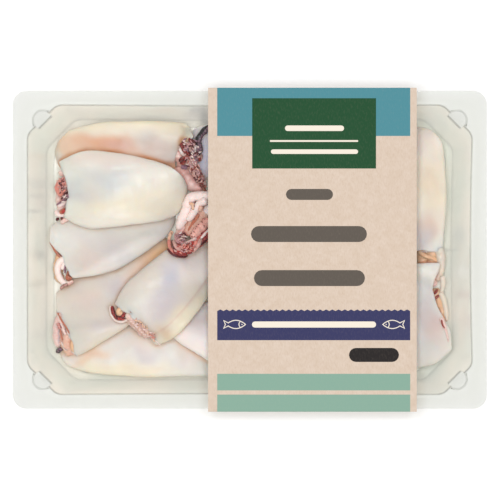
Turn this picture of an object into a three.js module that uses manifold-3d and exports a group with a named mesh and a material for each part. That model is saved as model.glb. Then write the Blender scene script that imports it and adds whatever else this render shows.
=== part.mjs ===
// A sealed retail pack of raw whole squid: a clear thermoformed tray with a clear film lid, the squid
// heaped inside it, and a printed card sleeve round the middle. Millimetres, +Z up. The pack lies on the
// sleeve's bottom panel; the origin is under the middle of the whole pack, on the surface it stands on.
import * as THREE from "three";
import { mergeVertices } from "three/addons/utils/BufferGeometryUtils.js";
import Module from "manifold-3d";

const wasm = await Module();
wasm.setup();

// ---------------------------------------------------------------- driving dimensions
const TRAY_LENGTH = 240;
const TRAY_WIDTH = 161;
const FLANGE_CORNER_R = 7;
const WALL = 0.7;
const CARD = 0.5;
const FLOOR_Z = CARD + WALL; // top of the tray's floor
const FLANGE_Z = 35; // top of the sealing flange
const FILM = 0.25;

// The well narrows from its mouth to a shoulder near the base, then curves in to the flat floor.
const MOUTH = { insetX: 7.6, insetY: 7.4, z: FLANGE_Z };
const SHOULDER = { insetX: 16.2, insetY: 14, z: 6 };
const BASE = { insetX: 19.8, insetY: 17.6, z: FLOOR_Z };
const CHAMFER = 14.8; // leg of each cut corner
const CHAMFER_R = 7.3;
const SIDE_BOW = { right: 0.9, top: 0.4, left: 0, bottom: 0.4 }; // how far each side of the well bows in
const POCKET_R = 4.65; // the half-round peel pocket in each cut corner
const POCKET_DEPTH = 4;

const SLEEVE_X = [-21.1, 84.5];
const SLEEVE_TOP_Z = 36;
const SLEEVE_TOP_HALF = 82.3;
const SLEEVE_BASE_HALF = 66.5;
const FOLD_R = 1;

// ---------------------------------------------------------------- the heap
const GAP = 0.35; // clear space between two squid
const CELL = 2; // grid step of the height map that the heap is laid on
const SAG = 0.06; // how readily a squid droops into the hollows below it
const SETTLE_STEPS = 160; // how often the sheet under a squid is let down
const EVEN_STEPS = 12; // and how often the sheet over it is evened out
const DROOP_STEPS = 40; // how often an arm is let down
const CLEARANCE = 1; // between a squid and the foot of the wall
const RINGS = 9; // rings along a mantle
const SIDES = 16; // points round a mantle
const RECESS = 4; // how far the mouth of a mantle is hollow
const LIP = 1.5; // wall of the mantle at its mouth
const ARM_SIDES = 6;
const ARM_STEP = 4.2;
const TAIL_U = 0.988; // the last ring stands just short of the tail's very end
const RING_PACKING = 1.25; // above 1, rings stand closer together at the tail than at the mouth
const NARROWING = 1.6; // the higher, the later along the mantle its width falls off
const TAIL_CLOSING = 9; // the higher, the blunter the very end of the tail
const TAIL_THINNING = 0.4; // share of its thickness that the mantle loses towards the tail
const MOUTH_THICKNESS = 0.72; // thickness at the mouth, as a share of the full one
const FULL_U = 0.35; // where along the mantle it is thickest
const CREASE_RUN = 0.24; // how far across the mantle a fold takes to go down
const HEM_PLACES = [-1, -0.5, 0, 0.5, 1];
const SLIVER = 0.06; // edges left by joining that are shorter than this are closed up

// Each squid, from the lowest to the topmost. mouth and tail are the ends of the mantle seen from above,
// bow bends it sideways, w0 and w1 are its half-widths at the mouth and at its widest (at "at" of its
// length), end is how blunt the tail is and h is its half-thickness. hem is how far the mouth's edge
// reaches out at five places across it, and crease is a fold along the mantle, as a share of its
// half-width, with its depth in drop. Each arm is a path seen from above, with a root and a tip radius.
const SQUID = [
  {
    name: "squid_front_left", mouth: [-15, -51.5], tail: [-97.5, -51], bow: 0,
    w0: 13, w1: 13.8, at: 0.45, end: 0.7, h: 6.4,
    arms: [{ path: [[-21, -51], [-13, -49], [-6, -50]], r: [2.5, 1] }],
  },
  {
    name: "squid_front_middle", mouth: [14, -52], tail: [-42, -32.5], bow: 0.5,
    w0: 13, w1: 16, at: 0.4, end: 0.55, h: 7,
    arms: [{ path: [[8, -52], [17, -53], [24, -56]], r: [2.8, 1.2] }],
  },
  {
    name: "squid_back_middle", mouth: [36, 49], tail: [-32, 47], bow: -0.8,
    w0: 12.6, w1: 15.4, at: 0.5, end: 0.75, h: 10,
    arms: [{ path: [[30, 49], [39, 50], [46, 48]], r: [2.8, 1.2] }],
  },
  {
    name: "squid_back_left", mouth: [-36, 51], tail: [-99.5, 49.5], bow: 0.4,
    w0: 13.2, w1: 16.2, at: 0.45, end: 0.62, h: 7, hem: [4.5, 7, -1, -3, -4], crease: 0.42, drop: 1.2,
    arms: [
      { path: [[-41, 55], [-34.5, 55], [-30.5, 50], [-33, 45]], r: [2.6, 1.5] },
      { path: [[-41, 50], [-34, 47], [-31.5, 42], [-27, 37]], r: [3, 1.6] },
      { path: [[-40, 46], [-34.5, 43], [-31.5, 37], [-26, 31.5], [-22, 30]], r: [3.4, 1.7] },
      { path: [[-40, 52], [-31, 51], [-27, 54.5], [-25, 58.5], [-20.5, 62]], r: [2.4, 1] },
    ],
  },
  {
    name: "squid_front_right", mouth: [38, -50], tail: [95, -46], bow: -0.5,
    w0: 11, w1: 12, at: 0.5, end: 0.6, h: 6,
    arms: [{ path: [[44, -52], [36, -54], [30, -58]], r: [2.2, 1.2] }],
  },
  {
    name: "squid_left_low", mouth: [-94, -38.5], tail: [-36, 1], bow: -0.4,
    w0: 16.5, w1: 18.2, at: 0.3, end: 0.7, h: 6.6, hem: [3.2, 1.2, 0.5, 0, -5],
    arms: [
      { path: [[-88, -36], [-95, -40.5], [-98, -46], [-97.6, -51.5]], r: [3.2, 1.2] },
      { path: [[-87, -41], [-92, -46.5], [-93.3, -51], [-89, -54]], r: [3.4, 1.6] },
      { path: [[-90, -32], [-97, -36], [-98.6, -41]], r: [2.6, 1.3] },
    ],
  },
  {
    name: "squid_centre_low", mouth: [-6, -18], tail: [52, -12], bow: 1.5,
    w0: 12.5, w1: 15.5, at: 0.4, end: 0.5, h: 6,
    arms: [{ path: [[0, -19], [-9, -19], [-15, -22]], r: [2.8, 1.3] }],
  },
  {
    name: "squid_left_middle", mouth: [-95.6, -1.5], tail: [-38.5, 20.5], bow: 0.6,
    w0: 14.6, w1: 18.6, at: 0.35, end: 0.5, h: 6.6, hem: [-0.2, 0.4, 0.8, 3.3, 0],
    arms: [
      { path: [[-90, -3], [-96, -6.5], [-98.6, -10.5], [-96, -15.5], [-92, -17.5]], r: [2.8, 2] },
      { path: [[-88, -9], [-92, -12], [-91, -16]], r: [2.6, 1.6] },
      { path: [[-92, 2], [-98, 0], [-99.5, 5]], r: [2, 1] },
    ],
  },
  {
    name: "squid_right_back", mouth: [82.5, 0], tail: [83.4, 62.8], bow: -0.6,
    w0: 16, w1: 16.8, at: 0.4, end: 0.84, h: 9,
    arms: [
      { path: [[82, 7], [86.5, 1], [88, -3.5]], r: [2.8, 1.4] },
      { path: [[88, 7], [92.5, 0], [94.5, -4]], r: [2.6, 1.4] },
      { path: [[77, 8], [78, -1], [82, -6]], r: [2.6, 1.3] },
    ],
  },
  {
    name: "squid_back_right", mouth: [24, 34], tail: [74, 48], bow: 0.8,
    w0: 12, w1: 14, at: 0.4, end: 0.5, h: 5.8,
    arms: [{ path: [[30, 35], [22, 31], [16, 33]], r: [2.5, 1.2] }],
  },
  {
    name: "squid_diagonal", mouth: [-57.4, -37.4], tail: [-14.7, 7.6], bow: -1,
    w0: 15.2, w1: 18.8, at: 0.2, end: 0.5, h: 6.8,
    hem: [-0.4, -1.4, -1.3, -0.5, 1.4], crease: -0.6, drop: 1.5,
    arms: [
      { path: [[-58, -28], [-65, -29], [-69.3, -31.5], [-67.5, -35], [-63.6, -33.4]], r: [2.6, 1.6] },
      { path: [[-54, -33], [-60, -36], [-56.5, -40], [-51.5, -44]], r: [2.5, 1.3] },
    ],
  },
  {
    name: "squid_right_front", mouth: [96.3, -31.3], tail: [33.5, -33.5], bow: 3,
    w0: 24, w1: 26.6, at: 0.3, end: 0.5, h: 7, hem: [5.6, -1.3, -0.5, 4.3, 5.6],
    arms: [
      { path: [[86, -19], [92.5, -16.5], [95, -21], [92.5, -25.5]], r: [2.8, 1.7] },
      { path: [[86, -27], [94.5, -28], [97.6, -34]], r: [2.7, 1.4] },
      { path: [[88, -34], [96, -36.5], [99, -41.5]], r: [2.5, 1.2] },
    ],
  },
  {
    name: "squid_top_left", mouth: [-92.6, 30.6], tail: [-31.6, 27.4], bow: 1.2,
    w0: 14.8, w1: 19.8, at: 0.22, end: 0.6, h: 7.4, hem: [1.5, 0.6, 0, 0.8, 4],
    arms: [
      { path: [[-87, 35], [-94.5, 36], [-97.6, 32], [-95.4, 28.6]], r: [3.3, 2.2] },
      { path: [[-87, 29], [-93.5, 27], [-98.4, 22.6]], r: [2.9, 1.5] },
      { path: [[-88, 23], [-94, 20.8], [-97.6, 18.6], [-95.6, 16]], r: [2.7, 1.6] },
      { path: [[-88, 41], [-95, 42], [-98.2, 39]], r: [2.3, 1.5] },
    ],
  },
  {
    name: "squid_centre", mouth: [-20, 12.6], tail: [41, 12], bow: 1,
    w0: 14.4, w1: 16.8, at: 0.4, end: 0.5, h: 6.8,
    arms: [
      { path: [[-14, 20], [-22, 27.4], [-31, 27], [-33, 20.5], [-35, 14], [-38.4, 9]], r: [3.1, 2.3] },
      { path: [[-14, 15], [-23, 21.5], [-28, 17], [-33, 11], [-36, 5]], r: [2.9, 1.8] },
      { path: [[-13, 10], [-22, 12], [-29, 7], [-35, 2], [-39.4, 4]], r: [3.2, 1.8] },
      { path: [[-13, 6], [-22, 6], [-28, 0], [-34, -2.4], [-39.4, 0]], r: [3, 1.4] },
    ],
  },
];

const FLESH = { color: 0xe8e2d2, roughness: 0.35, metalness: 0 };
const CLEAR = { color: 0xe9ebe4, roughness: 0.08, metalness: 0, transparent: true, opacity: 0.3 };
const KRAFT = { color: 0xe6d1bf, roughness: 0.85, metalness: 0 };

// ---------------------------------------------------------------- solids and meshes
function solidOf(geometry) {
  const bare = new THREE.BufferGeometry();
  bare.setAttribute("position", geometry.getAttribute("position"));
  if (geometry.index) bare.setIndex(geometry.index);
  const merged = mergeVertices(bare, 1e-4);
  const mesh = new wasm.Mesh({
    numProp: 3,
    vertProperties: merged.attributes.position.array,
    triVerts: new Uint32Array(merged.index.array),
  });
  return new wasm.Manifold(mesh);
}

function geometryOf(solid) {
  const { vertProperties, triVerts } = solid.getMesh();
  const geometry = new THREE.BufferGeometry();
  geometry.setAttribute("position", new THREE.BufferAttribute(Float32Array.from(vertProperties), 3));
  geometry.setIndex(new THREE.BufferAttribute(Uint32Array.from(triVerts), 1));
  geometry.computeVertexNormals();
  return geometry;
}

// The largest shell of a solid: hollows that joining has sealed are filled, and loose scraps go.
function outerShell(solid) {
  const shells = solid.simplify(SLIVER).decompose();
  return shells.reduce((most, shell) => (shell.volume() > most.volume() ? shell : most));
}

function named(name, geometry, look) {
  const mesh = new THREE.Mesh(geometry, new THREE.MeshStandardMaterial(look));
  mesh.name = name;
  return mesh;
}

// A closed skin over rings of points, each ring with the same number of points and turning the same way.
// Both ends are closed by a fan round the ring's middle.
function skin(rings) {
  const count = rings[0].length;
  const points = rings.flat();
  const faces = [];
  for (let r = 0; r + 1 < rings.length; r++) {
    for (let i = 0; i < count; i++) {
      const a = r * count + i;
      const b = r * count + ((i + 1) % count);
      faces.push(a, b, b + count, a, b + count, a + count);
    }
  }
  for (const ring of [0, rings.length - 1]) {
    const middle = rings[ring].reduce((sum, p) => sum.add(p), new THREE.Vector3()).divideScalar(count);
    points.push(middle);
    for (let i = 0; i < count; i++) {
      const a = ring * count + i;
      const b = ring * count + ((i + 1) % count);
      faces.push(points.length - 1, ring ? a : b, ring ? b : a);
    }
  }
  const geometry = new THREE.BufferGeometry().setFromPoints(points);
  geometry.setIndex(faces);
  return geometry;
}

function extruded(shape, z, depth, curveSegments = 5) {
  const geometry = new THREE.ExtrudeGeometry(shape, { depth, bevelEnabled: false, curveSegments });
  return geometry.translate(0, 0, z);
}

// ---------------------------------------------------------------- tray, film and sleeve
function roundedRectangle(halfX, halfY, r) {
  const shape = new THREE.Shape();
  shape.moveTo(halfX - r, -halfY);
  shape.absarc(halfX - r, -halfY + r, r, -Math.PI / 2, 0);
  shape.absarc(halfX - r, halfY - r, r, 0, Math.PI / 2);
  shape.absarc(-halfX + r, halfY - r, r, Math.PI / 2, Math.PI);
  shape.absarc(-halfX + r, -halfY + r, r, Math.PI, 1.5 * Math.PI);
  return shape;
}

// One level of the well: a rectangle with cut corners, each end of a cut rounded, and sides that bow in.
function wellRing(insetX, insetY, z) {
  const x = TRAY_LENGTH / 2 - insetX;
  const y = TRAY_WIDTH / 2 - insetY;
  const corners = [
    [x, -y + CHAMFER], [x, y - CHAMFER], [x - CHAMFER, y], [-x + CHAMFER, y],
    [-x, y - CHAMFER], [-x, -y + CHAMFER], [-x + CHAMFER, -y], [x - CHAMFER, -y],
  ].map(([cx, cy]) => new THREE.Vector2(cx, cy));
  const bows = [SIDE_BOW.right, 0, SIDE_BOW.top, 0, SIDE_BOW.left, 0, SIDE_BOW.bottom, 0];
  const run = CHAMFER_R * Math.tan(Math.PI / 8);
  const ring = [];
  corners.forEach((corner, k) => {
    const before = corners[(k + 7) % 8];
    const after = corners[(k + 1) % 8];
    const start = corner.clone().add(before.clone().sub(corner).setLength(run));
    const end = corner.clone().add(after.clone().sub(corner).setLength(run));
    ring.push(...new THREE.QuadraticBezierCurve(start, corner, end).getPoints(3));
    if (!bows[k]) return;
    const next = after.clone().add(corner.clone().sub(after).setLength(run));
    const inward = new THREE.Vector2(end.y - next.y, next.x - end.x).normalize();
    for (const share of [0.25, 0.5, 0.75]) {
      const bow = bows[k] * 4 * share * (1 - share);
      ring.push(end.clone().lerp(next, share).addScaledVector(inward, bow));
    }
  });
  return ring.map((p) => new THREE.Vector3(p.x, p.y, z));
}

// The well's levels from the floor up. "out" is 0 on the inside skin and WALL on the outside one.
function wellLevels(out) {
  const base = BASE.z - out;
  const inset = (key, t) => THREE.MathUtils.lerp(BASE[key], SHOULDER[key], t) - out;
  const levels = [0, 0.5, 1].map((t) =>
    wellRing(inset("insetX", t), inset("insetY", t), base + (SHOULDER.z - base) * t * t));
  levels.push(wellRing(MOUTH.insetX - out, MOUTH.insetY - out, FLANGE_Z));
  return levels;
}

function peelPockets(radius, z, depth) {
  return [[1, 1], [-1, 1], [-1, -1], [1, -1]].map(([sx, sy]) => {
    const x = sx * (TRAY_LENGTH / 2 - MOUTH.insetX - CHAMFER / 2);
    const y = sy * (TRAY_WIDTH / 2 - MOUTH.insetY - CHAMFER / 2);
    const round = new THREE.CylinderGeometry(radius, radius, depth, 16).rotateX(Math.PI / 2);
    return solidOf(round.translate(x, y, z + depth / 2));
  });
}

function tray() {
  const outline = roundedRectangle(TRAY_LENGTH / 2, TRAY_WIDTH / 2, FLANGE_CORNER_R);
  const slab = extruded(outline, FLANGE_Z - WALL, WALL);
  let body = solidOf(slab).add(solidOf(skin(wellLevels(WALL))));
  for (const pocket of peelPockets(POCKET_R + WALL, FLANGE_Z - POCKET_DEPTH - WALL, POCKET_DEPTH + WALL)) {
    body = body.add(pocket);
  }
  const inside = wellLevels(0);
  const rise = 1; // the cutting solids run on this far above the flange
  inside.push(inside.at(-1).map((p) => p.clone().setZ(FLANGE_Z + rise)));
  body = body.subtract(solidOf(skin(inside)));
  for (const pocket of peelPockets(POCKET_R, FLANGE_Z - POCKET_DEPTH, POCKET_DEPTH + rise)) {
    body = body.subtract(pocket);
  }
  return geometryOf(body);
}

function film() {
  const trim = 0.4;
  const outline = roundedRectangle(TRAY_LENGTH / 2 - trim, TRAY_WIDTH / 2 - trim, FLANGE_CORNER_R - trim);
  return extruded(outline, FLANGE_Z, FILM);
}

// The sleeve's section, a closed band with folded corners, "inner" inside its outer face.
function sleeveSection(PathClass, inner) {
  const top = new THREE.Vector2(SLEEVE_TOP_HALF - inner, SLEEVE_TOP_Z - inner);
  const base = new THREE.Vector2(SLEEVE_BASE_HALF - inner, inner);
  const corners = [new THREE.Vector2(-base.x, base.y), base, top, new THREE.Vector2(-top.x, top.y)];
  const path = new PathClass();
  corners.forEach((corner, k) => {
    const start = corner.clone().add(corners[(k + 3) % 4].clone().sub(corner).setLength(FOLD_R));
    const end = corner.clone().add(corners[(k + 1) % 4].clone().sub(corner).setLength(FOLD_R));
    if (k === 0) path.moveTo(start.x, start.y);
    else path.lineTo(start.x, start.y);
    path.quadraticCurveTo(corner.x, corner.y, end.x, end.y);
  });
  path.closePath();
  return path;
}

function sleeve() {
  const section = sleeveSection(THREE.Shape, 0);
  section.holes.push(sleeveSection(THREE.Path, CARD));
  const band = extruded(section, 0, SLEEVE_X[1] - SLEEVE_X[0], 4);
  // The section is drawn across the pack and run along it: local x is Y, local y is Z, local z is X.
  const turn = new THREE.Matrix4().makeBasis(
    new THREE.Vector3(0, 1, 0), new THREE.Vector3(0, 0, 1), new THREE.Vector3(1, 0, 0));
  return band.applyMatrix4(turn).translate(SLEEVE_X[0], 0, 0);
}

// ---------------------------------------------------------------- laying the heap
// The height map holds, for each grid point, the top of what lies there: the tray's floor at first.
const GRID_X = TRAY_LENGTH / CELL + 1;
const GRID_Y = Math.ceil(TRAY_WIDTH / CELL) + 1;
const gridX = (k) => (k % GRID_X) * CELL - TRAY_LENGTH / 2;
const gridY = (k) => Math.floor(k / GRID_X) * CELL - TRAY_WIDTH / 2;
const AROUND = [-1, 1, -GRID_X, GRID_X];

// The tray's floor curves up to the foot of the wall.
function floorHeight(x, y) {
  const insetX = TRAY_LENGTH / 2 - Math.abs(x);
  const insetY = TRAY_WIDTH / 2 - Math.abs(y);
  const rise = (base, shoulder, inset) => (base - inset) / (base - shoulder);
  const t = Math.max(
    0,
    rise(BASE.insetX, SHOULDER.insetX, insetX),
    rise(BASE.insetY, SHOULDER.insetY, insetY),
    rise(BASE.insetX + BASE.insetY, SHOULDER.insetX + SHOULDER.insetY, insetX + insetY - CHAMFER),
  );
  return FLOOR_Z + (SHOULDER.z - FLOOR_Z) * Math.min(1, t) ** 2;
}

// A point seen from above, moved in until it is "clear" inside the foot of the wall.
function insideWall(x, y, clear) {
  const mostX = TRAY_LENGTH / 2 - SHOULDER.insetX - clear;
  const mostY = TRAY_WIDTH / 2 - SHOULDER.insetY - clear;
  let ax = Math.min(Math.abs(x), mostX);
  let ay = Math.min(Math.abs(y), mostY);
  const over = ax + ay - (mostX + mostY - CHAMFER);
  if (over > 0) {
    ax -= over / 2;
    ay -= over / 2;
  }
  return [Math.sign(x) * ax, Math.sign(y) * ay];
}

function sample(map, x, y) {
  const fx = THREE.MathUtils.clamp((x + TRAY_LENGTH / 2) / CELL, 0, GRID_X - 1.001);
  const fy = THREE.MathUtils.clamp((y + TRAY_WIDTH / 2) / CELL, 0, GRID_Y - 1.001);
  const k = Math.floor(fy) * GRID_X + Math.floor(fx);
  const low = THREE.MathUtils.lerp(map[k], map[k + 1], fx % 1);
  const high = THREE.MathUtils.lerp(map[k + GRID_X], map[k + GRID_X + 1], fx % 1);
  return THREE.MathUtils.lerp(low, high, fy % 1);
}

// Each grid point takes the highest value among itself and its neighbours.
function spread(map) {
  return map.map((value, k) => Math.max(value, ...AROUND.map((step) => map[k + step] ?? value)));
}

// A soft sheet laid over the height map inside the mask: it rests on what is highest and droops between.
// With no ground under it, it only evens out.
function settle(sheet, mask, steps, ground, sag) {
  for (let step = 0; step < steps; step++) {
    const last = sheet.slice();
    for (let k = 0; k < sheet.length; k++) {
      if (!mask[k]) continue;
      const near = AROUND.filter((by) => mask[k + by]).map((by) => last[k + by]);
      const mean = near.reduce((sum, z) => sum + z, 0) / Math.max(1, near.length);
      sheet[k] = ground ? Math.max(ground[k], mean - sag) : mean;
    }
  }
  return sheet;
}

// The map is raised to the top of a solid, and the gap above it.
function raise(map, geometry) {
  const position = geometry.attributes.position;
  const [a, b, c, p] = Array.from({ length: 4 }, () => new THREE.Vector3());
  for (let t = 0; t < geometry.index.count; t += 3) {
    [a, b, c].forEach((corner, i) => corner.fromBufferAttribute(position, geometry.index.getX(t + i)));
    const steps = Math.ceil((2 * Math.max(a.distanceTo(b), b.distanceTo(c), c.distanceTo(a))) / CELL);
    for (let i = 0; i <= steps; i++) {
      for (let j = 0; i + j <= steps; j++) {
        p.copy(a).lerp(b, i / steps).addScaledVector(c, j / steps).addScaledVector(a, -j / steps);
        const column = Math.round((p.x + TRAY_LENGTH / 2) / CELL);
        const row = Math.round((p.y + TRAY_WIDTH / 2) / CELL);
        const k = row * GRID_X + column;
        map[k] = Math.max(map[k], p.z + GAP);
      }
    }
  }
}

// ---------------------------------------------------------------- one squid
// The mantle's middle line from mouth (u = 0) to tail (u = 1), with its sideways direction.
function spine(squid, u) {
  const mouth = new THREE.Vector2(...squid.mouth);
  const tail = new THREE.Vector2(...squid.tail);
  const side = new THREE.Vector2(mouth.y - tail.y, tail.x - mouth.x).normalize();
  const bend = mouth.clone().lerp(tail, 0.5).addScaledVector(side, 2 * squid.bow);
  const curve = new THREE.QuadraticBezierCurve(mouth, bend, tail);
  const forward = curve.getTangent(u);
  return { centre: curve.getPoint(u), forward, side: new THREE.Vector2(-forward.y, forward.x) };
}

function halfWidth({ w0, w1, at, end }, u) {
  if (u < at) return w0 + (w1 - w0) * Math.sin((Math.PI / 2) * (u / at));
  const t = (u - at) / (1 - at);
  return w1 * (1 - (1 - end) * t ** NARROWING) * Math.sqrt(Math.max(0, 1 - t ** TAIL_CLOSING));
}

function halfThickness({ h }, u) {
  const rise = Math.sin((Math.PI / 2) * Math.min(1, u / FULL_U));
  if (u < FULL_U) return h * THREE.MathUtils.lerp(MOUTH_THICKNESS, 1, rise);
  const t = (u - FULL_U) / (1 - FULL_U);
  return h * (1 - TAIL_THINNING * t * t) * Math.sqrt(Math.max(0, 1 - t ** TAIL_CLOSING));
}

// How far the mantle's skin stands above or below its middle at v, the share of its half-width.
const crown = (v) => Math.max(0, 1 - v * v) ** 0.5;
const belly = (v) => Math.max(0, 1 - v * v) ** 0.35;

// A fold along the mantle lowers the strip outside it.
function foldDrop(squid, v) {
  if (!squid.crease) return 0;
  const past = (v - squid.crease) * Math.sign(squid.crease);
  return squid.drop * THREE.MathUtils.smoothstep(past, -CREASE_RUN / 6, (5 * CREASE_RUN) / 6);
}

// How far the mouth's edge reaches out at v.
function hemReach({ hem }, v) {
  if (!hem) return 0;
  const k = Math.min(HEM_PLACES.length - 2, HEM_PLACES.findLastIndex((place) => place <= v));
  const share = (v - HEM_PLACES[k]) / (HEM_PLACES[k + 1] - HEM_PLACES[k]);
  return THREE.MathUtils.lerp(hem[k], hem[k + 1], share);
}

// A ring round the mantle at u. The upper half follows the evened sheet "high", the lower half "low".
function mantleRing(squid, { low, high }, u, inset, share) {
  const { centre, forward, side } = spine(squid, u);
  const w = Math.max(0.3, halfWidth(squid, u) - inset) * share;
  const h = halfThickness(squid, u);
  const thick = Math.max(0.2, h - inset) * share;
  return Array.from({ length: SIDES }, (_, k) => {
    const angle = -(k / SIDES) * 2 * Math.PI; // the rings run from the tail to the mouth
    const v = Math.cos(angle);
    const shift = -hemReach(squid, v) * (1 - u) ** 3;
    const [x, y] = insideWall(
      centre.x + side.x * v * w + forward.x * shift,
      centre.y + side.y * v * w + forward.y * shift, CLEARANCE + inset);
    const top = Math.sin(angle);
    const lift = top > 0 ? crown(v) * (thick - foldDrop(squid, v) * (1 - u)) : -belly(v) * thick;
    const under = THREE.MathUtils.lerp(sample(low, x, y), sample(high, x, y), (1 + top) / 2);
    return new THREE.Vector3(x, y, under + h + lift);
  });
}

function mantle(squid, sheets) {
  const rings = Array.from({ length: RINGS + 1 }, (_, k) =>
    mantleRing(squid, sheets, TAIL_U * (1 - (k / RINGS) ** RING_PACKING), 0, 1));
  const length = Math.hypot(squid.mouth[0] - squid.tail[0], squid.mouth[1] - squid.tail[1]);
  rings.push(mantleRing(squid, sheets, 0, LIP, 1));
  rings.push(mantleRing(squid, sheets, RECESS / length, LIP, 0.9));
  return solidOf(skin(rings));
}

// An arm is a tapering tube that leaves the mouth at its height, then droops on to what lies below.
function armTube({ path, r }, ground, mouthZ) {
  const flat = new THREE.CatmullRomCurve3(path.map(([x, y]) => new THREE.Vector3(x, y, 0)));
  const count = Math.max(3, Math.round(flat.getLength() / ARM_STEP));
  const points = flat.getSpacedPoints(count);
  const radius = (k) => THREE.MathUtils.lerp(r[0], r[1], k / count);
  points.forEach((p, k) => p.set(...insideWall(p.x, p.y, radius(k) + CLEARANCE), 0));
  const rest = points.map((p, k) => sample(ground, p.x, p.y) + radius(k));
  let heights = rest.map((z, k) => (k === 0 ? Math.max(z, mouthZ) : z));
  for (let step = 0; step < DROOP_STEPS; step++) {
    heights = heights.map((z, k) => {
      if (k === 0) return z;
      const beyond = k < count ? heights[k + 1] : z;
      return Math.max(rest[k], (heights[k - 1] + beyond) / 2 - 2 * SAG);
    });
  }
  points.forEach((p, k) => p.setZ(heights[k]));
  const rings = points.map((p, k) => {
    const ahead = points[Math.min(count, k + 1)].clone().sub(points[Math.max(0, k - 1)]).normalize();
    const across = new THREE.Vector3(-ahead.y, ahead.x, 0).normalize();
    const up = new THREE.Vector3().crossVectors(ahead, across);
    return Array.from({ length: ARM_SIDES }, (_, i) => {
      const angle = ((i + 0.5) / ARM_SIDES) * 2 * Math.PI;
      return p.clone()
        .addScaledVector(across, radius(k) * Math.cos(angle))
        .addScaledVector(up, radius(k) * Math.sin(angle));
    });
  });
  return solidOf(skin(rings));
}

function heap() {
  const blank = new Array(GRID_X * GRID_Y).fill(0);
  const ground = blank.map((_, k) => floorHeight(gridX(k), gridY(k)) + GAP);
  return SQUID.map((squid) => {
    // The grid points under the mantle, with a margin of two cells.
    const mask = blank.slice();
    const mark = (x, y) => {
      const k = Math.round((y + TRAY_WIDTH / 2) / CELL) * GRID_X + Math.round((x + TRAY_LENGTH / 2) / CELL);
      mask[k] = 1;
    };
    const along = 50;
    const across = 25;
    for (let k = 0; k < along; k++) {
      const { centre, side } = spine(squid, k / along);
      const w = halfWidth(squid, k / along);
      for (let i = 0; i <= across; i++) {
        const out = ((2 * i) / across - 1) * w;
        mark(...insideWall(centre.x + side.x * out, centre.y + side.y * out, CLEARANCE));
      }
    }
    const wide = spread(spread(mask));
    const under = spread(spread(ground));
    const low = settle(under.slice(), wide, SETTLE_STEPS, under, SAG);
    const high = settle(low.slice(), wide, EVEN_STEPS, null, 0);
    const sheets = { low, high: high.map((z, k) => Math.max(z, low[k])) };
    let body = mantle(squid, sheets);
    const mouthZ = sample(low, ...squid.mouth) + halfThickness(squid, 0);
    for (const arm of squid.arms) body = body.add(armTube(arm, under, mouthZ));
    const geometry = geometryOf(outerShell(body));
    raise(ground, geometry);
    return named(squid.name, geometry, FLESH);
  });
}

const pack = new THREE.Group();
pack.add(named("tray", tray(), CLEAR));
pack.add(named("film_lid", film(), CLEAR));
pack.add(named("sleeve", sleeve(), KRAFT));
pack.add(...heap());
export default pack;
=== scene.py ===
"""The looks of a sealed retail pack of raw whole squid: a clear tray and film lid, the squid heaped in
it, and a printed card sleeve. Lengths here are millimetres until a mesh is made; +Z is up."""
import math

import bmesh
import bpy
import numpy as np
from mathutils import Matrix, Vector
from mathutils.geometry import delaunay_2d_cdt


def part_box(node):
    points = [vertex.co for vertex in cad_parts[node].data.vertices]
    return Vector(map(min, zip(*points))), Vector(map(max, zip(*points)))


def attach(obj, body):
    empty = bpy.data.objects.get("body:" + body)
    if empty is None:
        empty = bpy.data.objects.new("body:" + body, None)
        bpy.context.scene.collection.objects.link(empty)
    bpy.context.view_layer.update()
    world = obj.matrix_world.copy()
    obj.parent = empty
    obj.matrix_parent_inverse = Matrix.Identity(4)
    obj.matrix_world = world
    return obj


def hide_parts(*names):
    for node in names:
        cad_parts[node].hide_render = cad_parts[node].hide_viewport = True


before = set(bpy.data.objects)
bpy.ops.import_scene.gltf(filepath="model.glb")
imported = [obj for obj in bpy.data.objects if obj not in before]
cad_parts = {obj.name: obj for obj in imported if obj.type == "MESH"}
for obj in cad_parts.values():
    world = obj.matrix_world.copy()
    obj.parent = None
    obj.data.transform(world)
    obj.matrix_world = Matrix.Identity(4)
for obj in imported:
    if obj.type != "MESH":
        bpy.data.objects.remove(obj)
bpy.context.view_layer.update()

# ---------------------------------------------------------------- sizes
MM = 0.001


def corners_of(node):
    low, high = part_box(node)
    return np.array(low) / MM, np.array(high) / MM


TRAY_LOW, TRAY_HIGH = corners_of("tray")
SLEEVE_LOW, SLEEVE_HIGH = corners_of("sleeve")
FILM_TOP_Z = corners_of("film_lid")[1][2]
TRAY_LENGTH, TRAY_WIDTH = TRAY_HIGH[:2] - TRAY_LOW[:2]
FLANGE_Z = TRAY_HIGH[2]
FLANGE_CORNER_R = 7
WALL = 0.7
CARD = 0.5
FLOOR_Z = TRAY_LOW[2] + WALL

# The well's mouth, its shoulder near the base and the edge of its flat floor: insets in X and in Y, and z.
MOUTH = (7.6, 7.4, FLANGE_Z)
SHOULDER = (16.2, 14.0, 6.0)
BASE = (19.8, 17.6, FLOOR_Z)
CHAMFER = 14.8
CHAMFER_R = 7.3
SIDE_BOW = (0.9, 0.4, 0.0, 0.4)  # how far the right, back, left and front sides bow in
POCKET_R = 4.65
POCKET_DEPTH = 4

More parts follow.
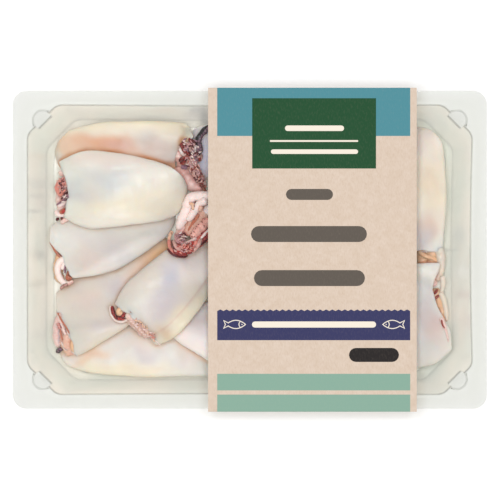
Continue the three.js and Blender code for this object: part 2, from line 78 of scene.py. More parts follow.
# ---------------------------------------------------------------- the heap
GAP = 0.12  # clear space between two squid
CELL = 1.0  # grid step of the height map that the heap is laid on
SAG = 0.015  # how far a mantle's free parts sink at each step
SETTLE_STEPS = 640
EVEN_STEPS = 50
RINGS = 84  # of points along a mantle
SIDES = 112
LIP = 1.7  # wall of the mantle at its mouth
RECESS = 9  # how deep the hollow is behind the lip
LIP_STEPS = 6
TAIL_U = 0.9985  # where the last ring lies, as a share of the length
TAIL_TAPER = 1.6  # the higher, the later a mantle narrows
TAIL_ROUNDING = 9  # the higher, the blunter its end
TAIL_THINNING = 0.4
LEAST_HALF_WIDTH = 0.2
LEAST_THICKNESS = 0.15
BELLY_FLATNESS = 0.35  # the lower, the flatter its underside
FULL_AT = 0.35  # where along its length a mantle is thickest
MOUTH_THICKNESS = 0.72  # share of that thickness at its mouth
ARM_SIDES = 22
ARM_STEP = 0.45
FROM_MOUTH = 3  # so many of a squid's arms start at the height of its mouth
DROOP = 0.02  # how far an arm's free stretch sinks at each step
DROOP_STEPS = 60
LUMP = 0.16  # how far an arm's radius wanders, as a share of it
LUMP_LENGTH = 5.0
TIP_ROUNDING = 14
ROOT_ROUNDING = 40
THINNEST = 0.02
SUCKERS_LOOK = 1.9  # the turn round the arm that its sucker side looks to, in radians
TWIST = 1.1  # how far that wanders along the arm
TWIST_LENGTH = 16.0
SUCKER_PITCH = 0.75  # space between two suckers, for each millimetre of the arm's radius
LEAST_PITCH = 0.55
ROW_TURN = 0.42  # how far each row of suckers stands from the middle of the sucker side, in radians
SUCKER_SIZE = 0.42  # radius, as a share of the space between two
HEM_PLACES = (-1, -0.5, 0, 0.5, 1)  # places across a mantle's mouth
HEAP_TOP = 33.5  # nothing in the heap reaches higher: the film is just above

# ---------------------------------------------------------------- colours, as the eye sees them (sRGB)
PALETTE = {
    "cream": (238, 231, 213), "pale": (241, 238, 228), "lilac": (211, 202, 206),
    "blue_grey": (212, 216, 215), "peach": (238, 196, 158), "orange": (206, 138, 84),
    "tan": (196, 146, 100), "pink": (232, 200, 190), "butter": (241, 231, 205), "maroon": (92, 26, 30),
    "red": (182, 62, 54), "salmon": (232, 152, 138), "shell": (250, 234, 226), "brown": (122, 72, 54),
    "black": (24, 14, 18), "plum": (140, 106, 122), "rose": (214, 172, 162), "grey": (206, 202, 196),
    "sand": (224, 190, 152), "skin": (226, 218, 207), "inner": (230, 190, 168), "warm": (190, 118, 92),
    "blue_lilac_painted_light": (242, 242, 255), "tube": (251, 235, 229), "cream_painted_light": (264, 254, 248),
    "amber_painted_light": (250, 204, 152), "dusk": (204, 206, 222), "mauve": (196, 150, 152), "rust": (150, 74, 62),
    "spot": (242, 190, 176), "snow": (255, 244, 240), "apricot": (229, 163, 110), "pearl": (250, 242, 236),
    "bloom": (240, 216, 210), "milk": (234, 231, 224),
}

# The mantles and the arms are darker than the table of colours by these shares, so the cream that is
# painted light, above white in the table, is never past white.
FLESH_SHADE = (0.905, 0.895, 0.885)
ARM_SHADE = (0.95, 0.90, 0.89)


def linear(colour):
    rgb = np.array(PALETTE[colour] if isinstance(colour, str) else colour, float) / 255
    return np.where(rgb <= 0.04045, rgb / 12.92, ((rgb + 0.055) / 1.055) ** 2.4)


# Each squid, from the lowest to the topmost. mouth and tail are the ends of the mantle seen from above,
# bow bends it sideways, w0 and w1 are its half-widths at the mouth and at its widest (at "at" of its
# length), end is how blunt the tail is, h is its half-thickness. hem is how far the mouth's edge reaches
# out at five places across it (HEM_PLACES). crease is a fold along the mantle, as a share of its
# half-width, and drop is how deep it is. base is its colour. seam is the colour and the strength of the
# painted shade that it takes where another squid lies over it. Each patch is a colour, a place seen from
# above, two radii, a turn in degrees and a strength. Each arm is a kind, its root and tip radius, how far
# it is held above what lies below, and its path seen from above. Each tangle is what the function of that
# name takes.
# The places of patches, arms and tangles, of the painted reflections in the walls and of the print were
# picked on the photo, as pixels, and turned into millimetres. The places of patches, arms and tangles, of
# WALL_REFLECTIONS and of the print were picked by hand on the photo, as pixels, and a small program turned
# them into millimetres.
SQUID = [
    {"name": "squid_front_left", "mouth": (-15, -51.5), "tail": (-97.5, -51), "bow": 0, "w0": 13,
     "w1": 13.8, "at": 0.45, "end": 0.7, "h": 6.4, "base": "milk", "seam": ("peach", 0.6),
     "patches": [("pale", (-50.5, -45.7), 8, 3.5, 0, 0.5), ("lilac", (-52, -54.8), 6, 4, 0, 0.6),
      ("peach", (-80.9, -54.8), 9, 3, 20, 0.7), ("butter", (-65.7, -61.9), 26, 4.5, 0, 0.9),
      ("pink", (-28.8, -50.8), 6, 6, 0, 0.5), ("pink", (-55.6, -48.2), 9, 4, 0, 0.3)]},
    # Its base is a cream paler than white: painted light against the shade that the sleeve casts on it.
    {"name": "squid_front_middle", "mouth": (14, -52), "tail": (-42, -32.5), "bow": 0.5, "w0": 13, "w1": 16,
     "at": 0.4, "end": 0.55, "h": 7, "base": "cream_painted_light", "seam": ("sand", 0.1),
     "patches": [("lilac", (-25.2, -38.1), 7, 9, 0, 0.6)]},
    # Its base is its blue-lilac made paler: painted light against the shade of the sleeve and the heap.
    {"name": "squid_back_middle", "mouth": (36, 49), "tail": (-33, 49.5), "bow": -0.8, "w0": 12.6, "w1": 16,
     "at": 0.5, "end": 0.85, "h": 10, "base": "blue_lilac_painted_light", "seam": ("plum", 0.1),
     "patches": [("pale", (-24.2, 36.3), 5, 5, 0, 0.4), ("pale", (-24.2, 62.7), 6, 6, 0, 0.6)]},
    {"name": "squid_back_left", "mouth": (-36, 51), "tail": (-99.5, 49.5), "bow": 0.4, "w0": 13.2,
     "w1": 16.2, "at": 0.45, "end": 0.62, "h": 7, "hem": (4.5, 7, -1, -3, -4), "crease": 0.42, "drop": 1.2,
     "base": "skin", "seam": ("orange", 1),
     "patches": [("cream", (-86, 61.6), 24, 8, 0, 0.9), ("butter", (-50.5, 64.7), 26, 5, 0, 0.9),
      ("apricot", (-71.8, 54), 21, 4.4, -5, 0.9), ("peach", (-94.1, 50.5), 7, 4, -50, 0.6),
      ("rose", (-66.7, 53.5), 9, 3, 0, 0.6), ("grey", (-53.1, 55.1), 7, 5, 0, 0.7),
      ("lilac", (-42.9, 49.5), 10, 8, 0, 0.7), ("sand", (-43.9, 50), 12, 8, 0, 0.3),
      ("butter", (-35.3, 62.1), 9, 6, 0, 0.6)],
     "arms": [
      ("smooth", 4.3, 3.3, 5, [(-36.4, 43.4), (-33.3, 38.4), (-29.8, 33.8), (-23.2, 30.3)]),
      ("rose", 2.8, 2.4, 3.5, [(-37.4, 50.5), (-35.8, 46.5), (-34.3, 41.9)]),
      ("rose", 3.4, 2.4, 4, [(-36.4, 52.5), (-31.3, 52.5), (-27.2, 49.5), (-26.2, 44.4)]),
      ("rose", 2.8, 2, 4.5, [(-34.3, 46.5), (-29.3, 42.9), (-26.7, 38.4), (-22.7, 31.3)]),
      ("tube", 1.7, 1.3, 6.2, [(-31.8, 56.1), (-28.8, 54.6), (-27.2, 52), (-29.8, 50)]),
      ("tube", 1.3, 1.1, 6.2, [(-35.3, 52), (-34.3, 49.5), (-32.3, 47.5)]),
      ("tube", 1.4, 1.1, 6.4, [(-31.3, 47.5), (-28.3, 45.4), (-28.8, 42.4), (-30.8, 39.9)]),
      ("tube", 1.2, 0.9, 6.6, [(-31.8, 46.5), (-30.3, 43.9), (-28.3, 39.9), (-25.2, 35.3)]),
      ("wine", 1.7, 1.4, 7.8, [(-34.8, 54), (-33.3, 51.8), (-31.8, 49.5), (-29.8, 46.5)]),
      ("wine", 1.2, 1, 7.5, [(-30.8, 56.6), (-28.8, 54.8), (-26.2, 54)]),
      ("black", 1.2, 1.9, 7.6, [(-28.8, 46.7), (-26.2, 49), (-25.2, 52), (-26.2, 55.1), (-24.7, 58.6),
          (-22.2, 61.1), (-18.6, 62.7)]),
      ("wine", 1.3, 1, 6.8, [(-35.3, 45.4), (-33.6, 46.5), (-31.3, 46.2)]),
      ("wine", 1, 0.9, 7, [(-34.8, 44.2), (-33.3, 45.2), (-32.3, 44.7)]),
      ("bit_plum", 1.3, 1.1, 6.2, [(-34.8, 42.7), (-33.3, 41.9), (-31.8, 42.1)]),
      ("bit_rust", 1.1, 0.8, 6.8, [(-28, 42.9), (-26.7, 39.4), (-25.5, 35.3), (-23.7, 31.8)]),
      ("bit_dark", 0.5, 0.4, 8.2, [(-28.5, 37.1), (-27.7, 35.6), (-26.7, 34.3)]),
      ("bit_dark", 0.5, 0.4, 8.2, [(-26.7, 37.1), (-26, 35.6), (-25, 34.3)]),
      ("bit_dark", 0.45, 0.35, 8.2, [(-25.5, 33.3), (-24.5, 31.8), (-23.4, 30.3)]),
      ("bit_brown", 0.9, 0.6, 7.4, [(-24.7, 33.8), (-23.2, 30.8), (-21.2, 28.7)]),
      ("bit_dark", 0.7, 0.6, 8.2, [(-32, 43.4), (-31.3, 42.7), (-30.3, 42.9)]),
      ("bit_dark", 0.7, 0.6, 8.2, [(-28.5, 43.2), (-27.5, 42.1), (-26.2, 41.9)]),
      ("wine", 0.8, 0.6, 8, [(-25.7, 48), (-25.5, 46.5), (-25.7, 44.9)]),
     ],
     "tangles": [
      (("bit_pale", "bit_mauve", "bit_dark", "bit_pink", "bit_plum"),
       (-30.3, 51.5), 6, 4.6, -60, 72, 6.4, 0.42),
      (("bit_pale", "bit_pink", "bit_mauve", "bit_rust"), (-29.8, 43.9), 5, 3, -55, 44, 6.6, 0.38),
      (("bit_rust", "bit_pink", "bit_mauve", "bit_dark"), (-26.2, 38.4), 6.5, 1.5, -62, 40, 7, 0.36),
     ]},
    {"name": "squid_front_right", "mouth": (38, -50), "tail": (95, -46), "bow": -0.5, "w0": 11, "w1": 12,
     "at": 0.5, "end": 0.6, "h": 6, "base": "skin", "seam": ("skin", 0.3),
     "patches": [("pink", (88.7, -56.8), 14, 4, 0, 0.3), ("butter", (91.2, -61.9), 14, 4, 0, 0.8)]},
    {"name": "squid_left_low", "mouth": (-94, -38.5), "tail": (-36, 1), "bow": -0.4, "w0": 16.5, "w1": 18.2,
     "at": 0.3, "end": 0.7, "h": 6.6, "hem": (3.2, 1.2, 0.5, 0, -5), "base": "skin", "seam": ("tan", 0.55),
     "patches": [("lilac", (-64.7, -20.4), 9, 6, -25, 0.8), ("pink", (-83.4, -25.4), 9, 6, 0, 0.3),
      ("lilac", (-76.9, -39.6), 7, 3.5, 0, 0.5), ("butter", (-69.8, -48.2), 16, 4.5, 33, 0.9),
      # The next patch is the tan of the flesh made paler: painted light in the hollow among the squid above.
      ("amber_painted_light", (-45.5, -4.2), 15, 7, 35, 1), ("pink", (-55.6, -11.3), 8, 4, 35, 0.4),
      ("blue_grey", (-69.8, -25.4), 5, 5, 0, 0.3)],
     "arms": [
      ("inner", 3.4, 2.6, 1.5, [(-93.1, -36.6), (-96.1, -40.6), (-96.1, -46.7), (-93.1, -51.8)]),
      ("inner", 3.2, 2.4, 2.5, [(-90, -40.6), (-93.1, -44.7), (-93.1, -50.3), (-89.5, -52.8)]),
      ("lilac", 2.2, 1.6, 2.5, [(-97.1, -34.6), (-98.6, -39.6), (-98.6, -45.7), (-97.6, -49.7)]),
      ("sand", 2, 1.5, 4, [(-88, -44.7), (-90, -47.7), (-89.5, -51.3), (-87.5, -52.8)]),
      ("pink", 1.4, 0.9, 4.5, [(-97.6, -31.5), (-96.6, -36.6), (-95.1, -41.1), (-92.6, -44.7)]),
      ("shell", 1.1, 0.8, 5.5, [(-93.1, -40.6), (-91, -44.7), (-88.5, -47.7)]),
      ("maroon", 1, 0.9, 5, [(-97.9, -37.1), (-97.1, -39.1), (-96.3, -40.6)]),
      ("black", 1.3, 1.2, 4.5, [(-97.9, -51.8), (-96.9, -51), (-96.1, -50.8)]),
      ("bit_warm", 0.5, 0.4, 6, [(-98.1, -32), (-96.3, -35.6), (-93.6, -39.6), (-90.8, -44.7)]),
      ("bit_warm", 0.45, 0.3, 6, [(-96.6, -40.6), (-95.8, -44.7), (-93.8, -48.7)]),
      ("dark", 0.35, 0.25, 6, [(-96.1, -46.7), (-95.1, -49.2), (-94.1, -50.8), (-91, -51.8), (-87.5, -54.3)]),
     ]},
    {"name": "squid_centre_low", "mouth": (-6, -18), "tail": (52, -12), "bow": 1.5, "w0": 12.5, "w1": 15.5,
     "at": 0.4, "end": 0.5, "h": 6, "base": "skin", "seam": ("tan", 0.7)},
    {"name": "squid_left_middle", "mouth": (-95.6, -1.5), "tail": (-38.5, 20.5), "bow": 0.6, "w0": 14.6,
     "w1": 18.6, "at": 0.35, "end": 0.5, "h": 6.6, "hem": (-0.2, 0.4, 0.8, 3.3, 0), "base": "milk",
     "seam": ("sand", 0.3),
     "patches": [("lilac", (-69.8, -0.1), 12, 6, -20, 0.5), ("pink", (-83.9, -6.2), 9, 7, 0, 0.4),
      ("pale", (-66.7, -17.3), 16, 4, -15, 0.7), ("blue_grey", (-60.7, -6.2), 7, 5, 0, 0.35),
      ("sand", (-42.4, -6.2), 9, 6, -30, 0.9), ("blue_grey", (-42.9, 7.5), 12, 4, 0, 0.4)],
     "arms": [
      ("sand", 2.8, 2.2, 1, [(-94.1, -0.1), (-97.6, -6.2), (-97.6, -13.3), (-95.1, -17.3)]),
      ("bit_warm", 1.1, 0.8, 6.5, [(-101.7, 4.4), (-100.1, 1.4), (-97.6, -2.7), (-94.6, -6.2)]),
      ("bit_brown", 0.6, 0.5, 8, [(-100.7, 3.4), (-98.1, -0.6), (-95.6, -4.2), (-93.8, -6.2)]),
      ("tube", 1.8, 1.5, 3.5, [(-93.6, -4.7), (-96.6, -5.7), (-98.1, -8.7), (-97.6, -12.8), (-95.6, -16.3),
          (-93.1, -17.3)]),
      ("tube", 1.2, 1, 4.5, [(-93.1, -6.2), (-95.1, -7.7), (-95.8, -10.3)]),
      ("bit_plum", 0.6, 0.45, 6.5, [(-94.1, -7.2), (-94.3, -9.7), (-94.3, -12.3)]),
      ("bit_warm", 1.9, 1.7, 7.5, [(-91, -11.3), (-92.3, -13.3), (-92.3, -15.3)]),
      ("bit_brown", 1.2, 1, 9, [(-91.3, -12.3), (-92, -14)]),
      ("rose", 1, 0.8, 5, [(-90, -15.8), (-92, -17.1), (-93.6, -16.3)]),
      ("brown", 0.9, 0.6, 3.5, [(-92.6, -17.8), (-95.1, -18.4), (-96.6, -20.4)]),
     ]},
    {"name": "squid_right_back", "mouth": (82.5, 0), "tail": (83.4, 62.8), "bow": -0.6, "w0": 16,
     "w1": 16.8, "at": 0.4, "end": 0.84, "h": 9, "base": "pearl", "seam": ("peach", 0.2),
     "patches": [("butter", (91.2, 30.3), 11, 22, 0, 0.8), ("pink", (88.2, 57.1), 8, 8, 0, 0.2),
      ("peach", (91.2, 35.3), 6, 8, 0, 0.25), ("rose", (91.2, 12), 4, 6, 0, 0.45),
      ("lilac", (87.2, 4.9), 4, 7, 0, 0.7)],
     "arms": [
      ("sand", 3.2, 2.6, 2, [(88.2, 2.9), (88.2, -2.2), (88.7, -8.2), (88.2, -13.3)]),
      ("sand", 3.2, 2.4, 2.5, [(93.3, 1.9), (93.3, -3.2), (93.3, -9.2), (92.2, -14.3)]),
      ("sand", 1.6, 1.2, 5, [(86.2, -0.1), (89.7, -3.2), (93.3, -4.2), (96.3, -6.2)]),
      ("lobe", 2.6, 2, 4, [(95.3, 1.9), (97.3, -2.2), (97.6, -7.7), (96.6, -12.8), (94.3, -16.3)]),
      ("maroon", 0.8, 0.6, 6, [(85.2, 2.9), (86.7, 1.1), (88.7, 0.4)]),
      ("dark", 0.35, 0.25, 7, [(86.2, -1.1), (90.2, -1.1), (95.3, -0.6)]),
     ]},
    {"name": "squid_back_right", "mouth": (24, 34), "tail": (74, 48), "bow": 0.8, "w0": 12, "w1": 14,
     "at": 0.4, "end": 0.5, "h": 5.8, "base": "skin", "seam": ("tan", 0.7)},
    {"name": "squid_diagonal", "mouth": (-57.4, -37.4), "tail": (-14.7, 7.6), "bow": -1, "w0": 15.2,
     "w1": 18.8, "at": 0.2, "end": 0.5, "h": 6.8, "hem": (-0.4, -1.4, -1.3, -0.5, 1.4), "crease": -0.6,
     "drop": 1.5, "base": "skin", "seam": ("tan", 0.5),
     "patches": [("lilac", (-42.4, -25.4), 8, 6, 55, 0.8), ("lilac", (-46.5, -31.5), 8, 6, 0, 0.5),
      # Below, the second patch is a cream paler than white: painted light against the shade of the heap.
      ("dusk", (-38.9, -12.3), 9, 5, 60, 0.85), ("cream_painted_light", (-28.8, -9.2), 9, 7, 0, 0.8),
      ("pale", (-55.6, -27), 4, 8, -45, 0.4), ("butter", (-31.8, -36.6), 7, 24, -43, 0.95),
      ("sand", (-43.9, -43.2), 5, 3.5, -40, 0.5), ("grey", (-27.7, -6.2), 6, 6, 0, 0.4)],
     "arms": [
      ("pink", 2.6, 2.2, 0.5, [(-64.7, -27.5), (-62.7, -32.5), (-57.6, -38.6), (-51.5, -44.7)]),
      ("sand", 1.8, 1.6, 2, [(-65.2, -30.5), (-66.7, -31.3), (-65.7, -32.5), (-64.2, -32)]),
      ("white", 0.8, 0.7, 1.5, [(-70.8, -28.5), (-70.5, -32), (-68.8, -35.3), (-65.2, -36.6),
          (-61.7, -34.6), (-59.6, -31)]),
      ("wine", 1, 1, 3.5, [(-70, -28.5), (-69.5, -31.5), (-68, -34.3), (-65.5, -34.3), (-63.2, -32),
          (-62.2, -29.5)]),
      ("peach", 1.6, 1.1, 3, [(-60.1, -32), (-58.1, -34), (-54.6, -38.1), (-50, -43.2)]),
      ("flecked", 1.7, 1.3, 2.5, [(-62.7, -32.5), (-59.1, -36.6), (-54.6, -41.1), (-50.5, -44.2)]),
      ("bit_warm", 0.45, 0.35, 5, [(-61.7, -30.5), (-58.6, -34), (-55.1, -37.6), (-52, -40.6)]),
      ("flecked", 1.2, 0.8, 3.5, [(-56.6, -38.6), (-53.1, -40.6), (-50, -43.7), (-47.5, -45.7)]),
      ("plum", 0.35, 0.25, 4, [(-50.5, -44.2), (-48, -46.2), (-45.2, -48.7)]),
     ],
     "tangles": [
      (("bit_pink", "bit_peach", "bit_pale", "bit_peach"), (-56.1, -38.1), 4.6, 1.6, -38, 34, 2.6, 0.4),
      (("bit_pink", "bit_peach", "bit_pale", "bit_salmon"), (-51, -42.7), 3.6, 1.2, -42, 22, 2.6, 0.36),
      (("bit_dark", "bit_red"), (-66.7, -34.3), 3.2, 0.7, -20, 10, 3.6, 0.45),
     ]},
    {"name": "squid_right_front", "mouth": (96.3, -31.3), "tail": (33.5, -33.5), "bow": 3, "w0": 24,
     "w1": 26.6, "at": 0.3, "end": 0.5, "h": 7, "hem": (5.6, -1.3, -0.5, 4.3, 5.6), "base": "milk",
     "seam": ("sand", 0.3),
     "patches": [("lilac", (90.2, -34.6), 7, 15, 0, 0.7), ("pale", (88.2, -10.3), 6, 5, 0, 0.8),
      ("pink", (94.3, -40.6), 4, 9, 20, 0.5), ("blue_grey", (91.2, -48.2), 8, 5, 0, 0.4)],
     "arms": [
      ("sand", 3, 2.4, 1, [(93.3, -20.4), (96.3, -25.4), (98.3, -31.5), (99.3, -37.6)]),
      ("lobe", 1.5, 1.2, 3.5, [(97.3, -21.4), (99.3, -26.5), (100.3, -31.5), (100.9, -36.6)]),
      ("lobe", 1.5, 1, 4, [(98.3, -13.3), (98.6, -17.8), (97.8, -21.9)]),
      ("pink", 2.2, 1.6, 5, [(91.2, -14.3), (93.3, -16.3), (95.3, -18.4)]),
      ("bit_rust", 0.8, 0.7, 7.5, [(92.2, -23.9), (94.3, -22.2), (96, -20.1)]),
      ("bit_peach", 0.6, 0.5, 7.5, [(92.8, -25.2), (94.8, -23.4), (96.6, -21.6)]),
      ("bit_rust", 0.8, 0.7, 7.5, [(92.8, -26.2), (94.8, -24.7), (96.6, -23.2)]),
      ("bit_brown", 0.8, 0.6, 7.5, [(92.5, -28), (93.8, -26.5), (95, -25.4)]),
      ("bit_pale", 1.2, 0.9, 16, [(97.3, -34.6), (98.6, -37.6), (99.8, -41.1)]),
      ("bit_rust", 0.5, 0.4, 18, [(97.6, -35.6), (98.1, -38.1), (99.3, -40.1)]),
      ("bit_pale", 0.6, 0.4, 15, [(99.6, -40.6), (100.6, -43.7), (101.1, -47.2)]),
     ]},
    {"name": "squid_top_left", "mouth": (-92.6, 30.6), "tail": (-31.6, 27.4), "bow": 1.2, "w0": 14.8,
     "w1": 19.8, "at": 0.22, "end": 0.6, "h": 7.4, "hem": (1.5, 0.6, 0, 0.8, 4), "base": "pale",
     "seam": ("sand", 0.5),
     "patches": [("butter", (-58.1, 23.2), 30, 8, 0, 0.8), ("blue_grey", (-71.8, 35.3), 9, 8, 0, 0.9),
      ("blue_grey", (-88, 32.3), 6, 8, 0, 0.6), ("lilac", (-83.9, 27.2), 6, 4, 0, 0.35),
      ("pink", (-71.8, 46.5), 22, 4, 0, 0.3), ("cream", (-39.4, 27.2), 12, 10, 0, 0.6)],
     "arms": [
      ("pink", 2.9, 2.4, 1, [(-88, 35.3), (-93.1, 33.3), (-96.6, 28.2), (-97.1, 23.2)]),
      ("rose", 2.7, 2.2, 2, [(-87, 32.3), (-92, 28.2), (-95.6, 23.2), (-96.6, 19.1)]),
      ("smooth", 2, 1.7, 4.5, [(-89, 39.6), (-93.1, 39.6), (-96.1, 39.1), (-97.4, 38.4)]),
      ("bit_salmon", 2.6, 2.1, 5, [(-90, 34.8), (-94.1, 34.8), (-96.9, 32.8), (-96.9, 29.7), (-94.6, 28.7)]),
      ("tube", 1.6, 1.1, 5.2, [(-88, 26.2), (-91.5, 25.2), (-94.6, 23.9), (-98.1, 21.9)]),
      ("tube", 1.6, 1.2, 4.6, [(-88, 19.6), (-92, 18.6), (-95.6, 17.6), (-98.4, 18.4), (-98.6, 20.6)]),
      ("plum", 1.2, 0.8, 6.6, [(-90, 29.2), (-91.5, 27), (-93.6, 25.7)]),
      ("bit_plum", 0.6, 0.45, 7, [(-92, 26.5), (-95.6, 24.7), (-98.9, 22.7)]),
      ("bit_dark", 0.6, 0.5, 8, [(-91, 30.5), (-93.3, 29), (-95.8, 27.2)]),
      ("bit_plum", 0.7, 0.5, 7.6, [(-91, 28.5), (-91.5, 26.2), (-93.3, 24.7)]),
      ("bit_brown", 0.9, 0.8, 7, [(-91.8, 22), (-93.1, 21.5), (-94.1, 21.6)]),
      ("bit_warm", 1.5, 1, 5.6, [(-93.8, 20.9), (-95.1, 19.6), (-97.1, 19)]),
      ("bit_red", 1, 0.7, 6.2, [(-94.1, 20.7), (-94.8, 19.6), (-96.1, 19.1)]),
      ("bit_dark", 1, 0.9, 4.6, [(-98.4, 16.3), (-97.9, 14.8)]),
      ("bit_dark", 1, 0.9, 4.6, [(-95.3, 16.4), (-96.3, 15.3)]),
      ("pink", 1.3, 1.1, 3.2, [(-92.6, 16.1), (-94.6, 14.8), (-96.6, 14)]),
     ],
     "tangles": [
      (("bit_salmon", "bit_dark", "bit_pink", "bit_mauve"), (-96.1, 32.3), 4.2, 2.1, 80, 50, 6, 0.4),
      (("bit_plum", "bit_pale", "bit_dark"), (-94.8, 25.7), 2.4, 1.1, 40, 20, 5.8, 0.34),
     ]},
    {"name": "squid_centre", "mouth": (-20, 12.6), "tail": (41, 12), "bow": 1, "w0": 14.4, "w1": 16.8,
     "at": 0.4, "end": 0.5, "h": 6.8, "base": "skin", "seam": ("tan", 0.7),
     "arms": [
      ("smooth", 3.6, 3.2, 0.5, [(-18.1, 25.2), (-24.7, 23.2), (-30.3, 18.1), (-34.3, 11), (-36.4, 4.9)]),
      ("inner", 3.4, 2.8, 0.8, [(-18.1, 22.2), (-24.2, 19.1), (-28.8, 14), (-32.3, 7)]),
      ("red", 3, 2.4, 0.8, [(-18.1, 9), (-24.2, 5.9), (-29.3, 1.9), (-34.8, -0.1), (-38.4, 3.9)]),
      ("tube", 2.2, 3, 3.6, [(-17.1, 28.2), (-22.7, 27.5), (-28.3, 27), (-31, 25.2), (-31.8, 21.6),
          (-33.3, 17.6), (-35.3, 13.5), (-36.4, 10)]),
      ("tube", 2, 1.8, 3.6, [(-21.7, 25.2), (-25.2, 23.7), (-27.2, 21.1), (-29.5, 17.6), (-31.8, 14.6)]),
      ("bit_peach", 1, 0.8, 3.4, [(-30.5, 23.7), (-28.8, 22.9), (-29, 20.1)]),
      ("bit_warm", 0.7, 0.5, 3.8, [(-25.7, 18.1), (-27.2, 16.1), (-29, 14), (-30.5, 11.5), (-31.5, 9.5)]),
      ("bit_warm", 0.45, 0.4, 4.6, [(-26.2, 16.8), (-27.7, 14.8), (-29.5, 12.5)]),
      ("inner", 1.1, 0.9, 3, [(-24.7, 22.2), (-25.7, 19.6)]),
      ("snow", 3.4, 2.9, 5.6, [(-15.1, 23.7), (-19.6, 21.1), (-22.9, 18.4)]),
      ("spotted", 3.3, 2.2, 5.4, [(-16.6, 17.1), (-21.7, 14), (-25.7, 10.5), (-29.8, 5.9)]),
      ("tube", 1, 0.8, 4.4, [(-17.1, 12.5), (-21.2, 9.5), (-25.2, 5.4)]),
      ("wine", 1.5, 1.1, 2.5, [(-17.1, 9.5), (-22.2, 5.9), (-25.7, 2.4)]),
      ("bit_peach", 1, 0.8, 3.4, [(-39.6, 9.5), (-40.7, 7.5), (-41.2, 4.9), (-40.9, 2.4)]),
      ("bit_salmon", 1, 0.8, 3, [(-41.2, 4.9), (-40.7, 1.4), (-38.9, -1.1), (-35.8, -2.2)]),
      ("bit_dark", 0.6, 0.5, 2, [(-41.9, 0.6), (-39.9, -1.9), (-36.9, -3.3), (-33.3, -3.7), (-31.3, -2.9)]),
      ("wine", 1.1, 0.9, 3, [(-38.9, -0.1), (-36.4, -1.8), (-31.8, -2.5)]),
      ("bit_red", 1, 0.8, 3.6, [(-38.4, 0.9), (-35.8, -0.9), (-32.3, -1.4)]),
      ("bit_dark", 0.55, 0.45, 4.4, [(-39.6, 4.9), (-38.7, 1.4), (-37.1, -0.9)]),
      ("bit_pink", 1.1, 0.9, 4, [(-38.4, 4.4), (-37.4, 1.4), (-34.8, -0.1)]),
      ("bit_mauve", 1.2, 0.9, 4.8, [(-33.1, 8.2), (-35.8, 7.7), (-36.9, 5.4), (-35.3, 3.7), (-33.3, 4.7)]),
      ("bit_mauve", 0.7, 0.55, 5.2, [(-37.9, 8), (-37.5, 5.2), (-35.8, 3.2)]),
      ("bit_dark", 0.6, 0.5, 5.2, [(-33.8, 8.7), (-32.6, 7), (-32.8, 5.4)]),
      ("bit_pale", 0.9, 0.5, 5.2, [(-27.2, 5.9), (-30.8, 4.2), (-34.8, 2.7)]),
      ("bit_red", 0.9, 0.7, 4.4, [(-28.8, 4.2), (-30.3, 1.9), (-32, -0.6)]),
      ("bit_salmon", 1, 0.8, 4.2, [(-27, 4.4), (-28.5, 1.4), (-30.8, -1.1)]),
      ("bit_pink", 1.1, 0.9, 3.8, [(-25, 5.2), (-26.5, 1.9), (-29.3, -1.4)]),
      ("bit_dark", 0.5, 0.4, 4.8, [(-29.8, 3.4), (-30.8, 1.4), (-31.8, 0.1)]),
     ],
     "tangles": [
      (("bit_pink", "bit_red", "bit_salmon", "bit_mauve"), (-33.8, 0.9), 5.5, 2.4, 12, 44, 3.6, 0.36),
      (("bit_mauve", "bit_pink", "bit_pale", "bit_plum"), (-35.3, 6.5), 2.4, 2, 0, 18, 4.4, 0.34),
     ]},
]

# What each kind of arm looks like: the colour of its back, of its sucker side and of its suckers, how
# thickly the back is speckled, and how far the suckers stand out. A plain kind has one colour all round
# and no suckers. The bits are the small pieces of arm in a knot.
ARM_KINDS = {
    "pink": ("pink", "rose", "shell", 0.25, 0.5), "shell": ("rose", "shell", "shell", 0.5, 0.9),
    "plum": ("plum", "pink", "shell", 0.6, 0.9), "speckled": ("salmon", "rose", "shell", 1.0, 1.0),
    "dark": ("maroon", "maroon", "shell", 0.6, 1.0), "maroon": ("maroon", "red", "rose", 0.5, 1.0),
    "black": ("black", "black", "plum", 0.0, 0.5), "peach": ("peach", "sand", "sand", 0.05, 0.2),
    "lilac": ("lilac", "pink", "pink", 0.0, 0.2), "sand": ("sand", "peach", "peach", 0.04, 0.2),
    "brown": ("brown", "maroon", "rose", 0.6, 0.8), "rose": ("rose", "pink", "shell", 0.5, 0.6),
    "flecked": ("peach", "rose", "shell", 0.8, 1.0), "red": ("red", "red", "salmon", 0.7, 1.0),
    "white": ("pink", "shell", "pale", 0.3, 0.3), "wine": ("maroon", "maroon", "red", 0.0, 0.4),
    "smooth": ("shell", "pink", "shell", 0.05, 0.0), "inner": ("inner", "inner", "rose", 0.3, 0.2),
    "bit_peach": ("pink", "peach", "peach", 1.0, 0.0), "lobe": ("skin", "cream", "cream", 0.0, 0.0),
}
PLAIN_KINDS = {
    "spotted": ("spot", 2.0), "bit_pale": ("bloom", 0.5), "bit_pink": ("rose", 0.8),
    "bit_dark": ("maroon", 0.0), "bit_red": ("red", 0.4), "bit_brown": ("brown", 0.0),
    "bit_plum": ("plum", 0.4), "tube": ("tube", 0.0), "bit_warm": ("warm", 0.6),
    "bit_salmon": ("salmon", 0.6), "bit_mauve": ("mauve", 0.6), "snow": ("snow", 0.0),
    "bit_rust": ("rust", 0.3),
}
for kind, (colour, speckle) in PLAIN_KINDS.items():
    ARM_KINDS[kind] = (colour, colour, colour, speckle, 0.0)


# ---------------------------------------------------------------- small helpers
def smoothstep(x, low, high):
    t = np.clip((x - low) / (high - low), 0, 1)
    return t * t * (3 - 2 * t)


def lerp(a, b, t):
    return a + (b - a) * t


